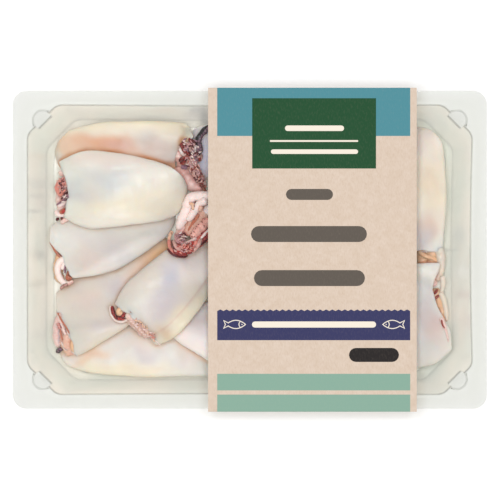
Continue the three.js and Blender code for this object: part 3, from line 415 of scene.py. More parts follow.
def ripple(points, size, seed, waves=9):
    """A smooth random field between about -1 and 1, with features of the given size."""
    rng = np.random.default_rng(seed)
    directions = rng.normal(size=(waves, points.shape[1]))
    directions /= np.linalg.norm(directions, axis=1, keepdims=True)
    lengths = size * rng.uniform(0.7, 1.5, (waves, 1))
    phase = rng.uniform(0, 2 * math.pi, waves)
    return np.sin(points @ (directions * 2 * math.pi / lengths).T + phase).mean(axis=1) * 2


def band_faces(rings, count):
    """Four-sided faces between closed rings of points that are stored one after another."""
    r, i = np.meshgrid(np.arange(rings - 1), np.arange(count), indexing="ij")
    a = r * count + i
    b = r * count + (i + 1) % count
    return np.stack([a, b, b + count, a + count], axis=-1).reshape(-1, 4)


def normals_of(vertices, quads):
    a, b, c, d = (vertices[quads[:, corner]] for corner in range(4))
    across = np.cross(c - a, d - b)
    total = np.zeros_like(vertices)
    for corner in range(4):
        np.add.at(total, quads[:, corner], across)
    return total / np.maximum(np.linalg.norm(total, axis=1, keepdims=True), 1e-9)


def make_piece(name, vertices, faces, materials, replaced, face_material=None, fields=None):
    """A mesh object from points in millimetres. It rides on the pack, in place of a node of the CAD
    model. fields holds what its materials read at each point, a colour or a number."""
    mesh = bpy.data.meshes.new(name)
    mesh.from_pydata((np.asarray(vertices) * MM).tolist(), [], [list(map(int, f)) for f in faces])
    for material in materials:
        mesh.materials.append(material)
    if face_material is not None:
        mesh.polygons.foreach_set("material_index", np.asarray(face_material, np.int32))
    mesh.polygons.foreach_set("use_smooth", np.ones(len(mesh.polygons), bool))
    for key, values in (fields or {}).items():
        if values.ndim == 2:
            layer = mesh.attributes.new(key, "FLOAT_COLOR", "POINT")
            rgba = np.column_stack([values, np.ones(len(values))])
            layer.data.foreach_set("color", rgba.astype(np.float32).ravel())
        else:
            layer = mesh.attributes.new(key, "FLOAT", "POINT")
            layer.data.foreach_set("value", values.astype(np.float32))
    mesh.validate()
    mesh.update()
    piece = bpy.data.objects.new(name, mesh)
    bpy.context.scene.collection.objects.link(piece)
    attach(piece, "root")
    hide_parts(replaced)
    return piece


def thicken(piece, thickness):
    """Gives a sheet its thickness, on the side away from its normals."""
    solid = piece.modifiers.new("thickness", "SOLIDIFY")
    solid.thickness = thickness * MM
    solid.offset = -1
    graph = bpy.context.evaluated_depsgraph_get()
    mesh = bpy.data.meshes.new_from_object(piece.evaluated_get(graph))
    piece.modifiers.clear()
    piece.data = mesh


# ---------------------------------------------------------------- laying the heap
COLUMNS = int(TRAY_LENGTH / CELL) + 1
ROWS = math.ceil(TRAY_WIDTH / CELL) + 1
AROUND = ((0, -1), (0, 1), (-1, 0), (1, 0))


def floor_map():
    """The height of the tray's floor, which curves up to the foot of the wall."""
    x, y = np.meshgrid(np.arange(COLUMNS) * CELL - TRAY_LENGTH / 2, np.arange(ROWS) * CELL - TRAY_WIDTH / 2)
    inset_x = TRAY_LENGTH / 2 - np.abs(x)
    inset_y = TRAY_WIDTH / 2 - np.abs(y)
    corner_base = BASE[0] + BASE[1]
    corner_shoulder = SHOULDER[0] + SHOULDER[1]
    t = np.maximum.reduce([
        np.zeros_like(x),
        (BASE[0] - inset_x) / (BASE[0] - SHOULDER[0]),
        (BASE[1] - inset_y) / (BASE[1] - SHOULDER[1]),
        (corner_base - (inset_x + inset_y - CHAMFER)) / (corner_base - corner_shoulder),
    ])
    return FLOOR_Z + (SHOULDER[2] - FLOOR_Z) * np.minimum(1, t) ** 2


def inside_wall(xy, clear):
    """Points seen from above, moved in until they are "clear" inside the foot of the wall."""
    most_x = TRAY_LENGTH / 2 - SHOULDER[0] - clear
    most_y = TRAY_WIDTH / 2 - SHOULDER[1] - clear
    ax = np.minimum(np.abs(xy[..., 0]), most_x)
    ay = np.minimum(np.abs(xy[..., 1]), most_y)
    over = np.maximum(0, ax + ay - (most_x + most_y - CHAMFER)) / 2
    return np.stack([np.sign(xy[..., 0]) * (ax - over), np.sign(xy[..., 1]) * (ay - over)], axis=-1)


def sample(height, xy):
    """The height map at any points, read through a cubic spline so that it is smooth."""
    fx = np.clip((xy[..., 0] + TRAY_LENGTH / 2) / CELL, 1, COLUMNS - 2.01)
    fy = np.clip((xy[..., 1] + TRAY_WIDTH / 2) / CELL, 1, ROWS - 2.01)
    ix, iy = fx.astype(int), fy.astype(int)

    def weights(t):
        return ((1 - t) ** 3 / 6, (3 * t ** 3 - 6 * t ** 2 + 4) / 6,
                (-3 * t ** 3 + 3 * t ** 2 + 3 * t + 1) / 6, t ** 3 / 6)

    total = np.zeros_like(fx)
    for dy, wy in enumerate(weights(fy - iy)):
        for dx, wx in enumerate(weights(fx - ix)):
            total += wy * wx * height[iy + dy - 1, ix + dx - 1]
    return total


def shifted(grid, step):
    return np.roll(grid, step, axis=(0, 1))


def spread(grid, steps):
    for _ in range(steps):
        grid = np.maximum.reduce([grid] + [shifted(grid, step) for step in AROUND])
    return grid


def settle(sheet, mask, steps, ground=None, sag=0.0):
    """A soft sheet laid over the ground inside the mask: it rests on what is highest and droops between.
    With no ground under it, it only evens out."""
    rows = np.flatnonzero(mask.any(axis=1))
    columns = np.flatnonzero(mask.any(axis=0))
    window = np.s_[rows[0] - 1:rows[-1] + 2, columns[0] - 1:columns[-1] + 2]
    part, inside = sheet[window].copy(), mask[window]
    below = None if ground is None else ground[window]
    counted = [shifted(inside, step) for step in AROUND]
    count = np.maximum(1, sum(c.astype(int) for c in counted))
    for _ in range(steps):
        mean = sum(np.where(c, shifted(part, step), 0) for c, step in zip(counted, AROUND)) / count
        even = mean if below is None else np.maximum(below, mean - sag)
        part = np.where(inside, even, part)
    sheet = sheet.copy()
    sheet[window] = part
    return sheet


def cells_at(xy):
    """The row and the column of the height map at points seen from above."""
    column = np.clip(np.round((xy[:, 0] + TRAY_LENGTH / 2) / CELL).astype(int), 0, COLUMNS - 1)
    row = np.clip(np.round((xy[:, 1] + TRAY_WIDTH / 2) / CELL).astype(int), 0, ROWS - 1)
    return row, column


def raise_map(height, points, gap):
    np.maximum.at(height, cells_at(points), points[:, 2] + gap)


def blurred(grid, steps):
    for _ in range(steps):
        grid = (grid * 4 + sum(shifted(grid, step) for step in AROUND)) / 8
    return grid


# ---------------------------------------------------------------- one mantle
def spine(squid, u):
    """The mantle's middle line from mouth (u = 0) to tail (u = 1): centre, forward and sideways."""
    mouth, tail = np.array(squid["mouth"], float), np.array(squid["tail"], float)
    side = np.array([mouth[1] - tail[1], tail[0] - mouth[0]])
    side /= np.linalg.norm(side)
    bend = (mouth + tail) / 2 + side * 2 * squid["bow"]
    centre = (1 - u) ** 2 * mouth + 2 * u * (1 - u) * bend + u * u * tail
    forward = 2 * (1 - u) * (bend - mouth) + 2 * u * (tail - bend)
    forward /= np.linalg.norm(forward)
    return centre, forward, np.array([-forward[1], forward[0]])


def blunt_end(t):
    """How a mantle closes towards its tail: full nearly to the end, then round."""
    return math.sqrt(max(0, 1 - t ** TAIL_ROUNDING))


def half_width(squid, u):
    """Half the mantle's width at a share of its length from the mouth."""
    at = squid["at"]
    if u < at:
        return squid["w0"] + (squid["w1"] - squid["w0"]) * math.sin(math.pi / 2 * u / at)
    t = (u - at) / (1 - at)
    return squid["w1"] * (1 - (1 - squid["end"]) * t ** TAIL_TAPER) * blunt_end(t)


def half_thickness(squid, u):
    """Half its thickness there."""
    if u < FULL_AT:
        return squid["h"] * (MOUTH_THICKNESS + (1 - MOUTH_THICKNESS) * math.sin(math.pi / 2 * u / FULL_AT))
    t = (u - FULL_AT) / (1 - FULL_AT)
    return squid["h"] * (1 - TAIL_THINNING * t * t) * blunt_end(t)


def fold_drop(squid, v):
    """A fold along the mantle lowers the strip outside it."""
    if "crease" not in squid:
        return np.zeros_like(v)
    past = (v - squid["crease"]) * np.sign(squid["crease"])
    return squid["drop"] * smoothstep(past, -0.03, 0.12)


def mantle_ring(squid, sheets, u, inset=0.0, share=1.0, push=0.0):
    """One ring of a mantle's points, and for each its u, its place across and how far it is on top."""
    low, high = sheets
    centre, forward, side = spine(squid, u)
    w = max(LEAST_HALF_WIDTH, half_width(squid, u) - inset) * share
    h = half_thickness(squid, u)
    thick = max(LEAST_THICKNESS, h - inset) * share
    angle = -np.arange(SIDES) / SIDES * 2 * math.pi  # the rings run from the tail to the mouth
    v = np.cos(angle)
    top = np.sin(angle)
    ragged = 0.35 * np.sin(v * 5 + squid["w0"]) + 0.25 * np.sin(v * 11 + top * 3 + squid["h"])
    hem = np.interp(v, HEM_PLACES, squid.get("hem", np.zeros(len(HEM_PLACES))))
    shift = ragged * (1 - u) ** 12 - hem * (1 - u) ** 3 - push
    xy = inside_wall(centre + np.outer(v * w, side) + np.outer(shift, forward), 1 + inset)
    crown = np.sqrt(np.maximum(0, 1 - v * v))
    belly = np.maximum(0, 1 - v * v) ** BELLY_FLATNESS
    raised = thick * crown - crown * fold_drop(squid, v) * smoothstep(1 - u, 0, 0.2)
    lift = np.where(top > 0, raised, -thick * belly)
    under = lerp(sample(low, xy), sample(high, xy), (1 + top) / 2)
    return np.column_stack([xy, under + h + lift]), np.column_stack([np.full(SIDES, u), v, top])


def mantle_stations(squid):
    """Where the rings lie, from the tail to the mouth, round its lip and into the hollow behind it: u,
    how far in from the skin, a share of the size, how far back, and how far inside the mouth."""
    length = math.dist(squid["mouth"], squid["tail"])
    stations = [(TAIL_U * (1 - (k / RINGS) ** 1.1), 0.0, 1.0, 0.0, 0.0) for k in range(RINGS + 1)]
    for k in range(1, LIP_STEPS + 1):
        turn = k / LIP_STEPS * math.pi
        stations.append((0.0, LIP / 2 * (1 - math.cos(turn)), 1.0, LIP * 0.35 * math.sin(turn), k / 8))
    for k in range(1, LIP_STEPS + 1):
        stations.append((RECESS / length * k / LIP_STEPS, LIP + 0.1 * k, 1.0 - 0.02 * k, 0.0, 1.0))
    return stations


def mantle(squid, sheets):
    """The mantle's points, faces, and for each point its u, v, top and how far inside the mouth it is."""
    stations = mantle_stations(squid)
    rings, marks = [], []
    for u, inset, share, push, depth in stations:
        points, mark = mantle_ring(squid, sheets, u, inset, share, push)
        rings.append(points)
        marks.append(np.column_stack([mark, np.full(SIDES, depth)]))
    vertices, marks = np.concatenate(rings), np.concatenate(marks)
    quads = band_faces(len(stations), SIDES)
    vertices = relaxed(vertices, len(stations))
    seed = len(squid["name"]) + int(abs(squid["mouth"][0]) * 10)
    swell = 0.28 * ripple(vertices, 22, seed) + 0.10 * ripple(vertices, 8, seed + 1)
    swell += 0.035 * ripple(vertices * [1, 1, 0.6], 3.2, seed + 2)
    fade = smoothstep(vertices[:, 2], 1.5, 4)
    vertices = vertices + normals_of(vertices, quads) * (swell * fade)[:, None]
    faces = quads.tolist()
    for ring in (0, len(stations) - 1):
        own = np.s_[ring * SIDES:(ring + 1) * SIDES]
        vertices = np.vstack([vertices, vertices[own].mean(axis=0)])
        marks = np.vstack([marks, marks[own].mean(axis=0)])
        middle = len(vertices) - 1
        for i in range(SIDES):
            a, b = ring * SIDES + i, ring * SIDES + (i + 1) % SIDES
            faces.append([middle, a, b] if ring else [middle, b, a])
    return vertices, faces, marks


def relaxed(vertices, rings, passes=3):
    """The grid of points with its kinks eased, keeping the first and the last ring."""
    grid = vertices.reshape(rings, SIDES, 3).copy()
    for _ in range(passes):
        around = (np.roll(grid, 1, axis=1) + np.roll(grid, -1, axis=1)) / 2
        along = grid.copy()
        along[1:-1] = (grid[2:] + grid[:-2]) / 2
        grid = lerp(grid, (around + along) / 2, 0.5)
    return grid.reshape(-1, 3)


# ---------------------------------------------------------------- arms
def smooth_path(points, step):
    """A Catmull-Rom curve through the points, as evenly spaced points."""
    p = np.asarray(points, float)
    p = np.vstack([2 * p[0] - p[1], p, 2 * p[-1] - p[-2]])
    t = np.linspace(0, 1, 16, endpoint=False)[:, None]
    pieces = []
    for a, b, c, d in zip(p, p[1:], p[2:], p[3:]):
        pieces.append(0.5 * (2 * b + (c - a) * t + (2 * a - 5 * b + 4 * c - d) * t ** 2
                             + (3 * b - a - 3 * c + d) * t ** 3))
    curve = np.vstack(pieces + [p[-2][None]])
    along = np.concatenate([[0], np.cumsum(np.linalg.norm(np.diff(curve, axis=0), axis=1))])
    even = np.linspace(0, along[-1], max(4, round(along[-1] / step) + 1))
    return np.column_stack([np.interp(even, along, curve[:, k]) for k in range(p.shape[1])])


def arm_heights(xy, radius, ground, piled, hold, mouth_z):
    """The heights of an arm's points. It leaves the mouth at its height and droops on to what is below:
    the ground, the arms already piled there, and the bulk of the head that holds it up."""
    rest = np.maximum(sample(piled, xy), sample(ground, xy) + hold) + radius * 0.7
    z = rest.copy()
    z[0] = max(z[0], mouth_z)
    for _ in range(DROOP_STEPS):
        z[1:-1] = np.maximum(rest[1:-1], (z[:-2] + z[2:]) / 2 - DROOP)
        z[-1] = max(rest[-1], z[-2] - 0.5)
    return np.minimum(z, HEAP_TOP - radius)


def frame_of(points):
    """The directions across and up at each point of a path."""
    ahead = np.gradient(points, axis=0)
    ahead /= np.linalg.norm(ahead, axis=1, keepdims=True)
    across = np.column_stack([-ahead[:, 1], ahead[:, 0], np.zeros(len(points))])
    across /= np.maximum(np.linalg.norm(across, axis=1, keepdims=True), 1e-6)
    return across, np.cross(ahead, across)


def sucker_rows(s, turned, radius, pitch, knobs):
    """Two rows of suckers along an arm: the change they make to its radius, and how much they show."""
    offset = np.ones(turned.shape)
    cups = np.zeros(turned.shape)
    for row, place in enumerate((-ROW_TURN, ROW_TURN)):
        nearest = (np.round(s / pitch - row / 2) + row / 2) * pitch
        along = (s - nearest)[:, None]
        around = (turned - place) * radius[:, None]
        d = np.hypot(along, around) / (SUCKER_SIZE * pitch)
        offset += knobs * (0.28 * np.exp(-d ** 2) - 0.24 * np.exp(-(d / 0.45) ** 2))
        cups += np.exp(-(d / 0.9) ** 4) * (1 - 0.5 * np.exp(-(d / 0.35) ** 2))
    return offset, cups


def arm(kind, root, tip, hold, path, ground, piled, mouth_z, seed):
    """One arm: a tapering tube with a pale underside that carries two rows of suckers, and a darker,
    speckled back. It twists as it goes, so that now one side shows and now the other."""
    back, under, cup, speck, knobs = ARM_KINDS[kind]
    coarse = inside_wall(smooth_path(path, 2.0), 0.8 * root)
    z = arm_heights(coarse, np.linspace(root, tip, len(coarse)), ground, piled, hold, mouth_z)
    points = smooth_path(np.column_stack([coarse, z]), ARM_STEP)
    count = len(points)
    s = np.arange(count) * ARM_STEP
    share = np.linspace(0, 1, count)
    rough = 1.0 if knobs else 0.5
    lumps = 1 + LUMP * rough * ripple(s[:, None], LUMP_LENGTH, seed)
    blunt_tip = np.sqrt(np.maximum(THINNEST, 1 - share ** TIP_ROUNDING))
    blunt_root = np.sqrt(np.maximum(THINNEST, 1 - (1 - share) ** ROOT_ROUNDING))
    radius = lerp(root, tip, share) * lumps * (blunt_tip * blunt_root)
    across, up = frame_of(points)
    angle = (np.arange(ARM_SIDES) + 0.5) / ARM_SIDES * 2 * math.pi
    middle = SUCKERS_LOOK + TWIST * ripple(s[:, None], TWIST_LENGTH, seed + 3)
    turned = (angle[None, :] - middle[:, None] + math.pi) % (2 * math.pi) - math.pi
    pitch = SUCKER_PITCH * lerp(root, tip, 0.5) + LEAST_PITCH
    offset, cups = sucker_rows(s, turned, radius, pitch, knobs)
    ring = radius[:, None] * offset
    vertices = (points[:, None] + across[:, None] * (ring * np.cos(angle))[..., None]
                + up[:, None] * (ring * np.sin(angle))[..., None]).reshape(-1, 3)
    outward = vertices - np.repeat(points, ARM_SIDES, axis=0)
    crumple = 0.10 * ripple(vertices, 2.4, seed + 5) + 0.07 * ripple(vertices, 1.2, 7)
    vertices = vertices + outward * (rough * crumple)[:, None]
    faces = band_faces(count, ARM_SIDES)[:, ::-1].tolist()
    for end, order in ((0, 1), (count - 1, -1)):
        faces.append([end * ARM_SIDES + i for i in range(ARM_SIDES)][::order])
    sucker_side = smoothstep(-np.abs(turned).ravel(), -1.35, -0.75)
    blotch = 0.5 + 0.5 * ripple(vertices, 3.5, seed + 9)
    pale = np.clip(sucker_side * (0.6 + 0.4 * blotch), 0, 1)
    cups = np.minimum(1, cups.ravel()) * min(1, 2 * knobs)
    tint = lerp(lerp(linear(back), linear(under), pale[:, None]), linear(cup), cups[:, None])
    return vertices, faces, tint, speck * (1 - 0.6 * pale) * (1 - 0.9 * cups)


def tangle(kinds, centre, reach_x, reach_y, turn, count, hold, thickness, seed):
    """Arm tips packed together round a place: short, stout curls that show as a mass of small lumps.
    The place is an oval, turned by so many degrees, and most of the curls lie along it."""
    rng = np.random.default_rng(seed)
    lean = math.radians(turn)
    along = np.array([math.cos(lean), math.sin(lean)])
    across = np.array([-along[1], along[0]])
    arms = []
    for k in range(count):
        angle, out = rng.uniform(0, 2 * math.pi), math.sqrt(rng.uniform(0, 1))
        x, y = out * reach_x * math.cos(angle), out * reach_y * math.sin(angle)
        heading = lean + rng.normal(0, 0.7)
        curl = rng.uniform(-1.2, 1.2)
        path = [np.array(centre) + (x * along + y * across)]
        for _ in range(2):
            path.append(path[-1] + rng.uniform(0.6, 1.2) * np.array([math.cos(heading), math.sin(heading)]))
            heading += curl
        size = thickness * rng.uniform(0.7, 1.3)
        arms.append((kinds[k % len(kinds)], size, 0.8 * size, hold + rng.uniform(-0.5, 0.5), path))
    return arms


# ---------------------------------------------------------------- colouring the flesh
# How strongly a mantle takes the tint of its mottle, the painted shade along its fold, and the tint of
# its low sides and inside.
MOTTLE = 0.14
FOLD_SHADE = 0.35
LOW_SIDE = 0.4
INSIDE = 0.8
# Painted shade: an arm darkens towards salmon where it lies deep in the heap.
ARM_DEPTH_SHADE = 0.45  # how strongly an arm reddens where it lies deep in the heap


def mantle_tint(squid, vertices, marks, around):
    """The colour of each point of a mantle. around is the evened height of everything near it."""
    u, v, top, inside = marks.T
    tint = np.tile(linear(squid["base"]), (len(vertices), 1))

    def laid(colour, share):
        return lerp(tint, linear(colour), share[:, None])

    wander = np.column_stack([ripple(vertices[:, :2], 14, 3), ripple(vertices[:, :2], 14, 4)]) * 1.6
    xy = vertices[:, :2] + wander
    for colour, centre, rx, ry, turn, strength in squid.get("patches", ()):
        turned = math.radians(turn)
        dx, dy = (xy - centre).T
        along = (dx * math.cos(turned) + dy * math.sin(turned)) / rx
        across = (dy * math.cos(turned) - dx * math.sin(turned)) / ry
        tint = laid(colour, strength * np.exp(-(along ** 2 + across ** 2) ** 1.3 * 0.8))
    mottle = 0.5 + 0.5 * ripple(vertices, 9, 21)
    tint = laid("lilac", MOTTLE * mottle)
    if "crease" in squid:
        past = (v - squid["crease"]) * math.copysign(1, squid["crease"])
        # Painted shade: a rose line where the fold turns down.
        line = np.exp(-((past - 0.03) / 0.035) ** 2) * (top > 0) * smoothstep(1 - u, 0, 0.3)
        tint = laid("rose", FOLD_SHADE * line)
    # Painted shade: where the heap near it stands higher, the skin takes the seam colour as a warm shade.
    colour, strength = squid["seam"]
    painted_crevice_shade = smoothstep(around - vertices[:, 2], 0.2, 4.0) * strength
    patchy = 0.75 + 0.25 * ripple(vertices[:, :2], 12, 8)
    tint = laid(colour, painted_crevice_shade * np.clip(patchy, 0, 1))
    low_side = smoothstep(-top, -0.1, 0.6) * (1 - inside)
    tint = laid("skin", LOW_SIDE * low_side)
    return laid("pink", INSIDE * np.clip(inside, 0, 1))


PLAIN_ARMS = ((-0.5, "pink"), (0.1, "speckled"), (0.55, "shell"))  # a place across the mouth and a kind


def plain_arms(squid):
    """Arms for a squid whose mouth is hidden: they fan out of it and lie on what is below."""
    mouth, forward, side = spine(squid, 0.0)
    arms = []
    for k, (spot, kind) in enumerate(PLAIN_ARMS):
        start = mouth + side * spot * squid["w0"] + forward * 7
        reach = 9 + 3 * k
        path = [start, start - forward * 8 + side * spot, start - forward * (8 + reach / 2) + side * 3 * spot,
                start - forward * (7 + reach) - side * (2 - 2 * k)]
        arms.append((kind, 2.6, 1.2, 0.5, path))
    return arms


def outline_mask(squid, shape):
    """The cells of the height map that a mantle covers."""
    mask = np.zeros(shape, bool)
    for u in np.linspace(0, 1, 160, endpoint=False):
        centre, _, side = spine(squid, u)
        xy = inside_wall(centre + np.outer(np.linspace(-1, 1, 80) * half_width(squid, u), side), 1)
        mask[cells_at(xy)] = True
    return spread(mask, 2)


def laid_arms(squid, number, ground, mouth_z):
    """A squid's arms, then its tangles, each laid on those before it."""
    piled = ground.copy()
    wanted = list(squid.get("arms") or plain_arms(squid))
    for k, spot in enumerate(squid.get("tangles", ())):
        wanted += tangle(*spot, seed=number * 10 + k)
    arms = []
    for k, (kind, root, tip, hold, path) in enumerate(wanted):
        start_z = mouth_z if k < FROM_MOUTH else 0
        arms.append(arm(kind, root, tip, hold, path, ground, spread(piled, 1), start_z, number * 40 + k))
        raise_map(piled, arms[-1][0], -0.6 * root)
    return arms


def lay_heap():
    """Each squid's mantle and arms, laid from the lowest to the topmost, and the height map they leave."""
    ground = floor_map() + GAP
    made = []
    for number, squid in enumerate(SQUID):
        mask = outline_mask(squid, ground.shape)
        under = spread(ground, 2)
        low = settle(under, mask, SETTLE_STEPS, under, SAG)
        high = np.maximum(settle(low, mask, EVEN_STEPS), low)
        vertices, faces, marks = mantle(squid, (low, high))
        mouth_z = float(sample(low, np.array(squid["mouth"], float)) + half_thickness(squid, 0.0))
        arms = laid_arms(squid, number, ground, mouth_z)
        made.append((squid, vertices, faces, marks, arms))
        raise_map(ground, vertices, GAP)
        for points, *_ in arms:
            raise_map(ground, points, GAP)
    return made, ground


def build_heap(flesh, arm_skin):
    """Each squid's mantle and arms in one piece, with the painted shade that its place in the heap gives."""
    made, ground = lay_heap()
    around = blurred(ground, 10)
    for squid, vertices, faces, marks, arms in made:
        tints = [mantle_tint(squid, vertices, marks, sample(around, vertices[:, :2])) * FLESH_SHADE]
        specks = [np.zeros(len(vertices))]
        points, all_faces, slots = [vertices], list(faces), [0] * len(faces)
        start = len(vertices)
        for arm_points, arm_faces, tint, speck in arms:
            # Painted shade where the arm lies low among what is around it.
            deep = smoothstep(sample(around, arm_points[:, :2]) - arm_points[:, 2], 2.0, 7.0)
            tints.append(lerp(tint, tint * linear("salmon"), (ARM_DEPTH_SHADE * deep)[:, None]) * ARM_SHADE)
            specks.append(speck)
            points.append(arm_points)
            all_faces += [[start + i for i in face] for face in arm_faces]
            slots += [1] * len(arm_faces)
            start += len(arm_points)
        fields = {"tint": np.concatenate(tints), "speck": np.concatenate(specks)}
        make_piece(squid["name"] + "_flesh", np.concatenate(points), all_faces, [flesh, arm_skin],
                   squid["name"], slots, fields)


# ---------------------------------------------------------------- materials
class Look:
    """A material, with short ways to add nodes to it. A value is a number, a colour or a node's output.
    A texture's scale is in features per metre."""

    def __init__(self, name):
        self.material = bpy.data.materials.new(name)
        self.material.use_nodes = True
        self.tree = self.material.node_tree
        self.shader = self.tree.nodes["Principled BSDF"]

    def put(self, socket, value):
        if hasattr(value, "node"):
            self.tree.links.new(value, socket)
        elif socket.type == "RGBA":
            socket.default_value = (*value, 1)
        else:
            socket.default_value = value

    def add(self, kind, inputs=(), **settings):
        node = self.tree.nodes.new("ShaderNode" + kind)
        for key, value in settings.items():
            setattr(node, key, value)
        for key, value in dict(inputs).items():
            self.put(node.inputs[key], value)
        return node

    def surface(self, inputs):
        for key, value in inputs.items():
            self.put(self.shader.inputs[key], value)

    def where(self):
        return self.add("TexCoord").outputs["Object"]

    def attribute(self, name, output):
        return self.add("Attribute", attribute_name=name).outputs[output]

    def noise(self, scale, detail, roughness=0.5, where=None):
        inputs = {"Vector": where or self.where(), "Scale": scale, "Detail": detail, "Roughness": roughness}
        return self.add("TexNoise", inputs).outputs["Fac"]

    def ramp(self, source, low, high, first, last):
        """The source between low and high, turned into a value between first and last."""
        inputs = {"Value": source, "From Min": low, "From Max": high, "To Min": first, "To Max": last}
        return self.add("MapRange", inputs).outputs["Result"]

    def dots(self, scale, inner, outer):
        """Round spots: 1 nearer their middles than inner, and 0 past outer."""
        cells = self.add("TexVoronoi", {"Vector": self.where(), "Scale": scale})
        return self.ramp(cells.outputs["Distance"], inner, outer, 1, 0)

    def product(self, first, second):
        node = self.add("Math", operation="MULTIPLY")
        for socket, value in zip(node.inputs, (first, second)):
            self.put(socket, value)
        return node.outputs[0]

    def mixed(self, factor, first, second, blend="MIX"):
        node = self.add("Mix", {"Factor": factor}, data_type="RGBA", blend_type=blend)
        for socket, value in zip((s for s in node.inputs if s.type == "RGBA"), (first, second)):
            self.put(socket, value)
        return next(s for s in node.outputs if s.type == "RGBA")

    def bump(self, height, strength, distance):
        node = self.add("Bump", {"Height": height, "Strength": strength, "Distance": distance})
        self.surface({"Normal": node.outputs["Normal"]})


def flesh_material():
    """Wet skin in the colours painted on the mesh, a little cloudy, with rare brown dots."""
    look = Look("wet_mantle")
    cloud = look.noise(130, 4, 0.6)
    grain = look.noise(900, 3)
    colour = look.attribute("tint", "Color")
    colour = look.mixed(look.ramp(cloud, 0.35, 0.75, 0, 0.35), colour, (0.93, 0.90, 0.90), "MULTIPLY")
    colour = look.mixed(look.ramp(grain, 0.4, 0.7, 0, 0.18), colour, (0.94, 0.91, 0.87), "MULTIPLY")
    rare = look.ramp(look.noise(60, 2), 0.66, 0.72, 0, 0.55)
    spots = look.product(look.dots(210, 0.05, 0.13), rare)
    look.surface({
        "Base Color": look.mixed(spots, colour, linear("brown")),
        "Roughness": look.ramp(cloud, 0.3, 0.7, 0.42, 0.58),
        "Subsurface Weight": 0.5, "Subsurface Radius": (1.0, 0.6, 0.4), "Subsurface Scale": 0.006,
        "Coat Weight": 0.08, "Coat Roughness": 0.25, "IOR": 1.38,
    })
    look.bump(grain, 0.12, 0.0004)
    return look.material


def arm_material():
    """Wet arms in their painted colours, with maroon dots that gather in clumps."""
    look = Look("wet_arms")
    clumps = look.noise(420, 3, 0.6)
    gathered = look.product(look.dots(650, 0.22, 0.42), look.ramp(clumps, 0.42, 0.58, 0, 1))
    shown = look.product(gathered, look.attribute("speck", "Fac"))
    look.surface({
        "Base Color": look.mixed(shown, look.attribute("tint", "Color"), linear("maroon")),
        "Roughness": 0.38, "Specular IOR Level": 0.35, "IOR": 1.38,
        "Subsurface Weight": 0.3, "Subsurface Radius": (1.0, 0.5, 0.4), "Subsurface Scale": 0.0016,
        "Coat Weight": 0.08, "Coat Roughness": 0.2,
    })
    look.bump(clumps, 0.25, 0.0004)
    return look.material


# Painted reflections of the squid, blurred, in the tray's walls: a colour, the middle, two half-widths,
# a strength.
WALL_REFLECTIONS = (
    ((226, 192, 150), (-107.2, 47.5), 7, 2.4, 0.6), ((176, 172, 156), (-108.2, 33.3), 8, 4, 0.5),
    ((150, 146, 128), (-108.2, 27.2), 8, 2, 0.5), ((110, 106, 90), (-109.3, 19.6), 6, 1.4, 0.6),
    ((190, 160, 140), (-105.7, 23.2), 4, 2.5, 0.4), ((150, 134, 110), (-106.7, -2.7), 4.2, 4, 0.7),
    ((180, 162, 120), (-107.2, -17.3), 5, 3.4, 0.6), ((170, 170, 156), (-108.2, -43.2), 6, 3, 0.4),
    ((168, 176, 166), (106.4, 7), 4.5, 7, 0.6), ((120, 120, 104), (102.4, -0.1), 9, 1.0, 0.6),
    ((255, 255, 246), (107.9, -11.3), 5, 4.6, 0.8), ((196, 150, 132), (108.4, -22.9), 5, 3.2, 0.6),
    ((206, 170, 150), (110.5, -36.6), 3, 6, 0.4), ((60, 54, 56), (-22.7, 67.7), 4.2, 5.5, 1.0),
    ((70, 64, 64), (-25.7, 71), 6, 1.6, 0.9), ((176, 150, 140), (-29.3, 68.7), 6, 3, 0.5),
    ((220, 178, 138), (-42.9, 70.8), 12, 1.8, 0.5), ((150, 144, 126), (-50.5, 67.7), 16, 1.2, 0.5),
)


def with_painted_reflections(look, colour, painted_reflections):
    """A colour with painted reflections, soft ovals of other colours, each at its place seen from above."""
    where = look.where()
    for tint, (x, y), half_x, half_y, strength in painted_reflections:
        spot = {"Vector": where, "Location": (x * MM, y * MM, 0), "Scale": (half_x * MM, half_y * MM, 1)}
        place = look.add("Mapping", spot, vector_type="TEXTURE")
        oval = look.add("TexGradient", {"Vector": place.outputs["Vector"]}, gradient_type="SPHERICAL")
        colour = look.mixed(look.ramp(oval.outputs["Fac"], 0, 0.7, 0, strength), colour, linear(tint))
    return colour


def clear_material(name, colour, second, alpha, roughness, waviness, gloss=0.5, painted_glow=0.0, painted_reflections=()):
    """Clear plastic. Its colour wanders softly between two, a painted reflection of what it mirrors. It
    may carry painted reflections of the squid, and shine faintly with painted light.
    """
    look = Look(name)
    share = look.ramp(look.noise(45, 3), 0.35, 0.65, 0, 1)
    tint = look.mixed(share, linear(colour), linear(second))
    look.surface({
        "Base Color": with_painted_reflections(look, tint, painted_reflections),
        "Alpha": alpha, "Roughness": roughness, "IOR": 1.5, "Specular IOR Level": gloss,
        # Painted light: the plastic shines faintly in its own colour.
        "Emission Color": linear(colour), "Emission Strength": painted_glow,
    })
    look.bump(look.noise(60, 2), waviness, 0.001)
    return look.material


KRAFT_COLOURS = ((209, 189, 170), (218, 200, 184), (193, 169, 148))  # two that cloud it, and its fibres
INKS = {"teal": (76, 137, 148), "green": (26, 74, 42), "navy": (52, 53, 93), "sage": (133, 167, 150),
        "cream": (236, 226, 210), "brown": (92, 84, 76), "black": (34, 29, 28)}


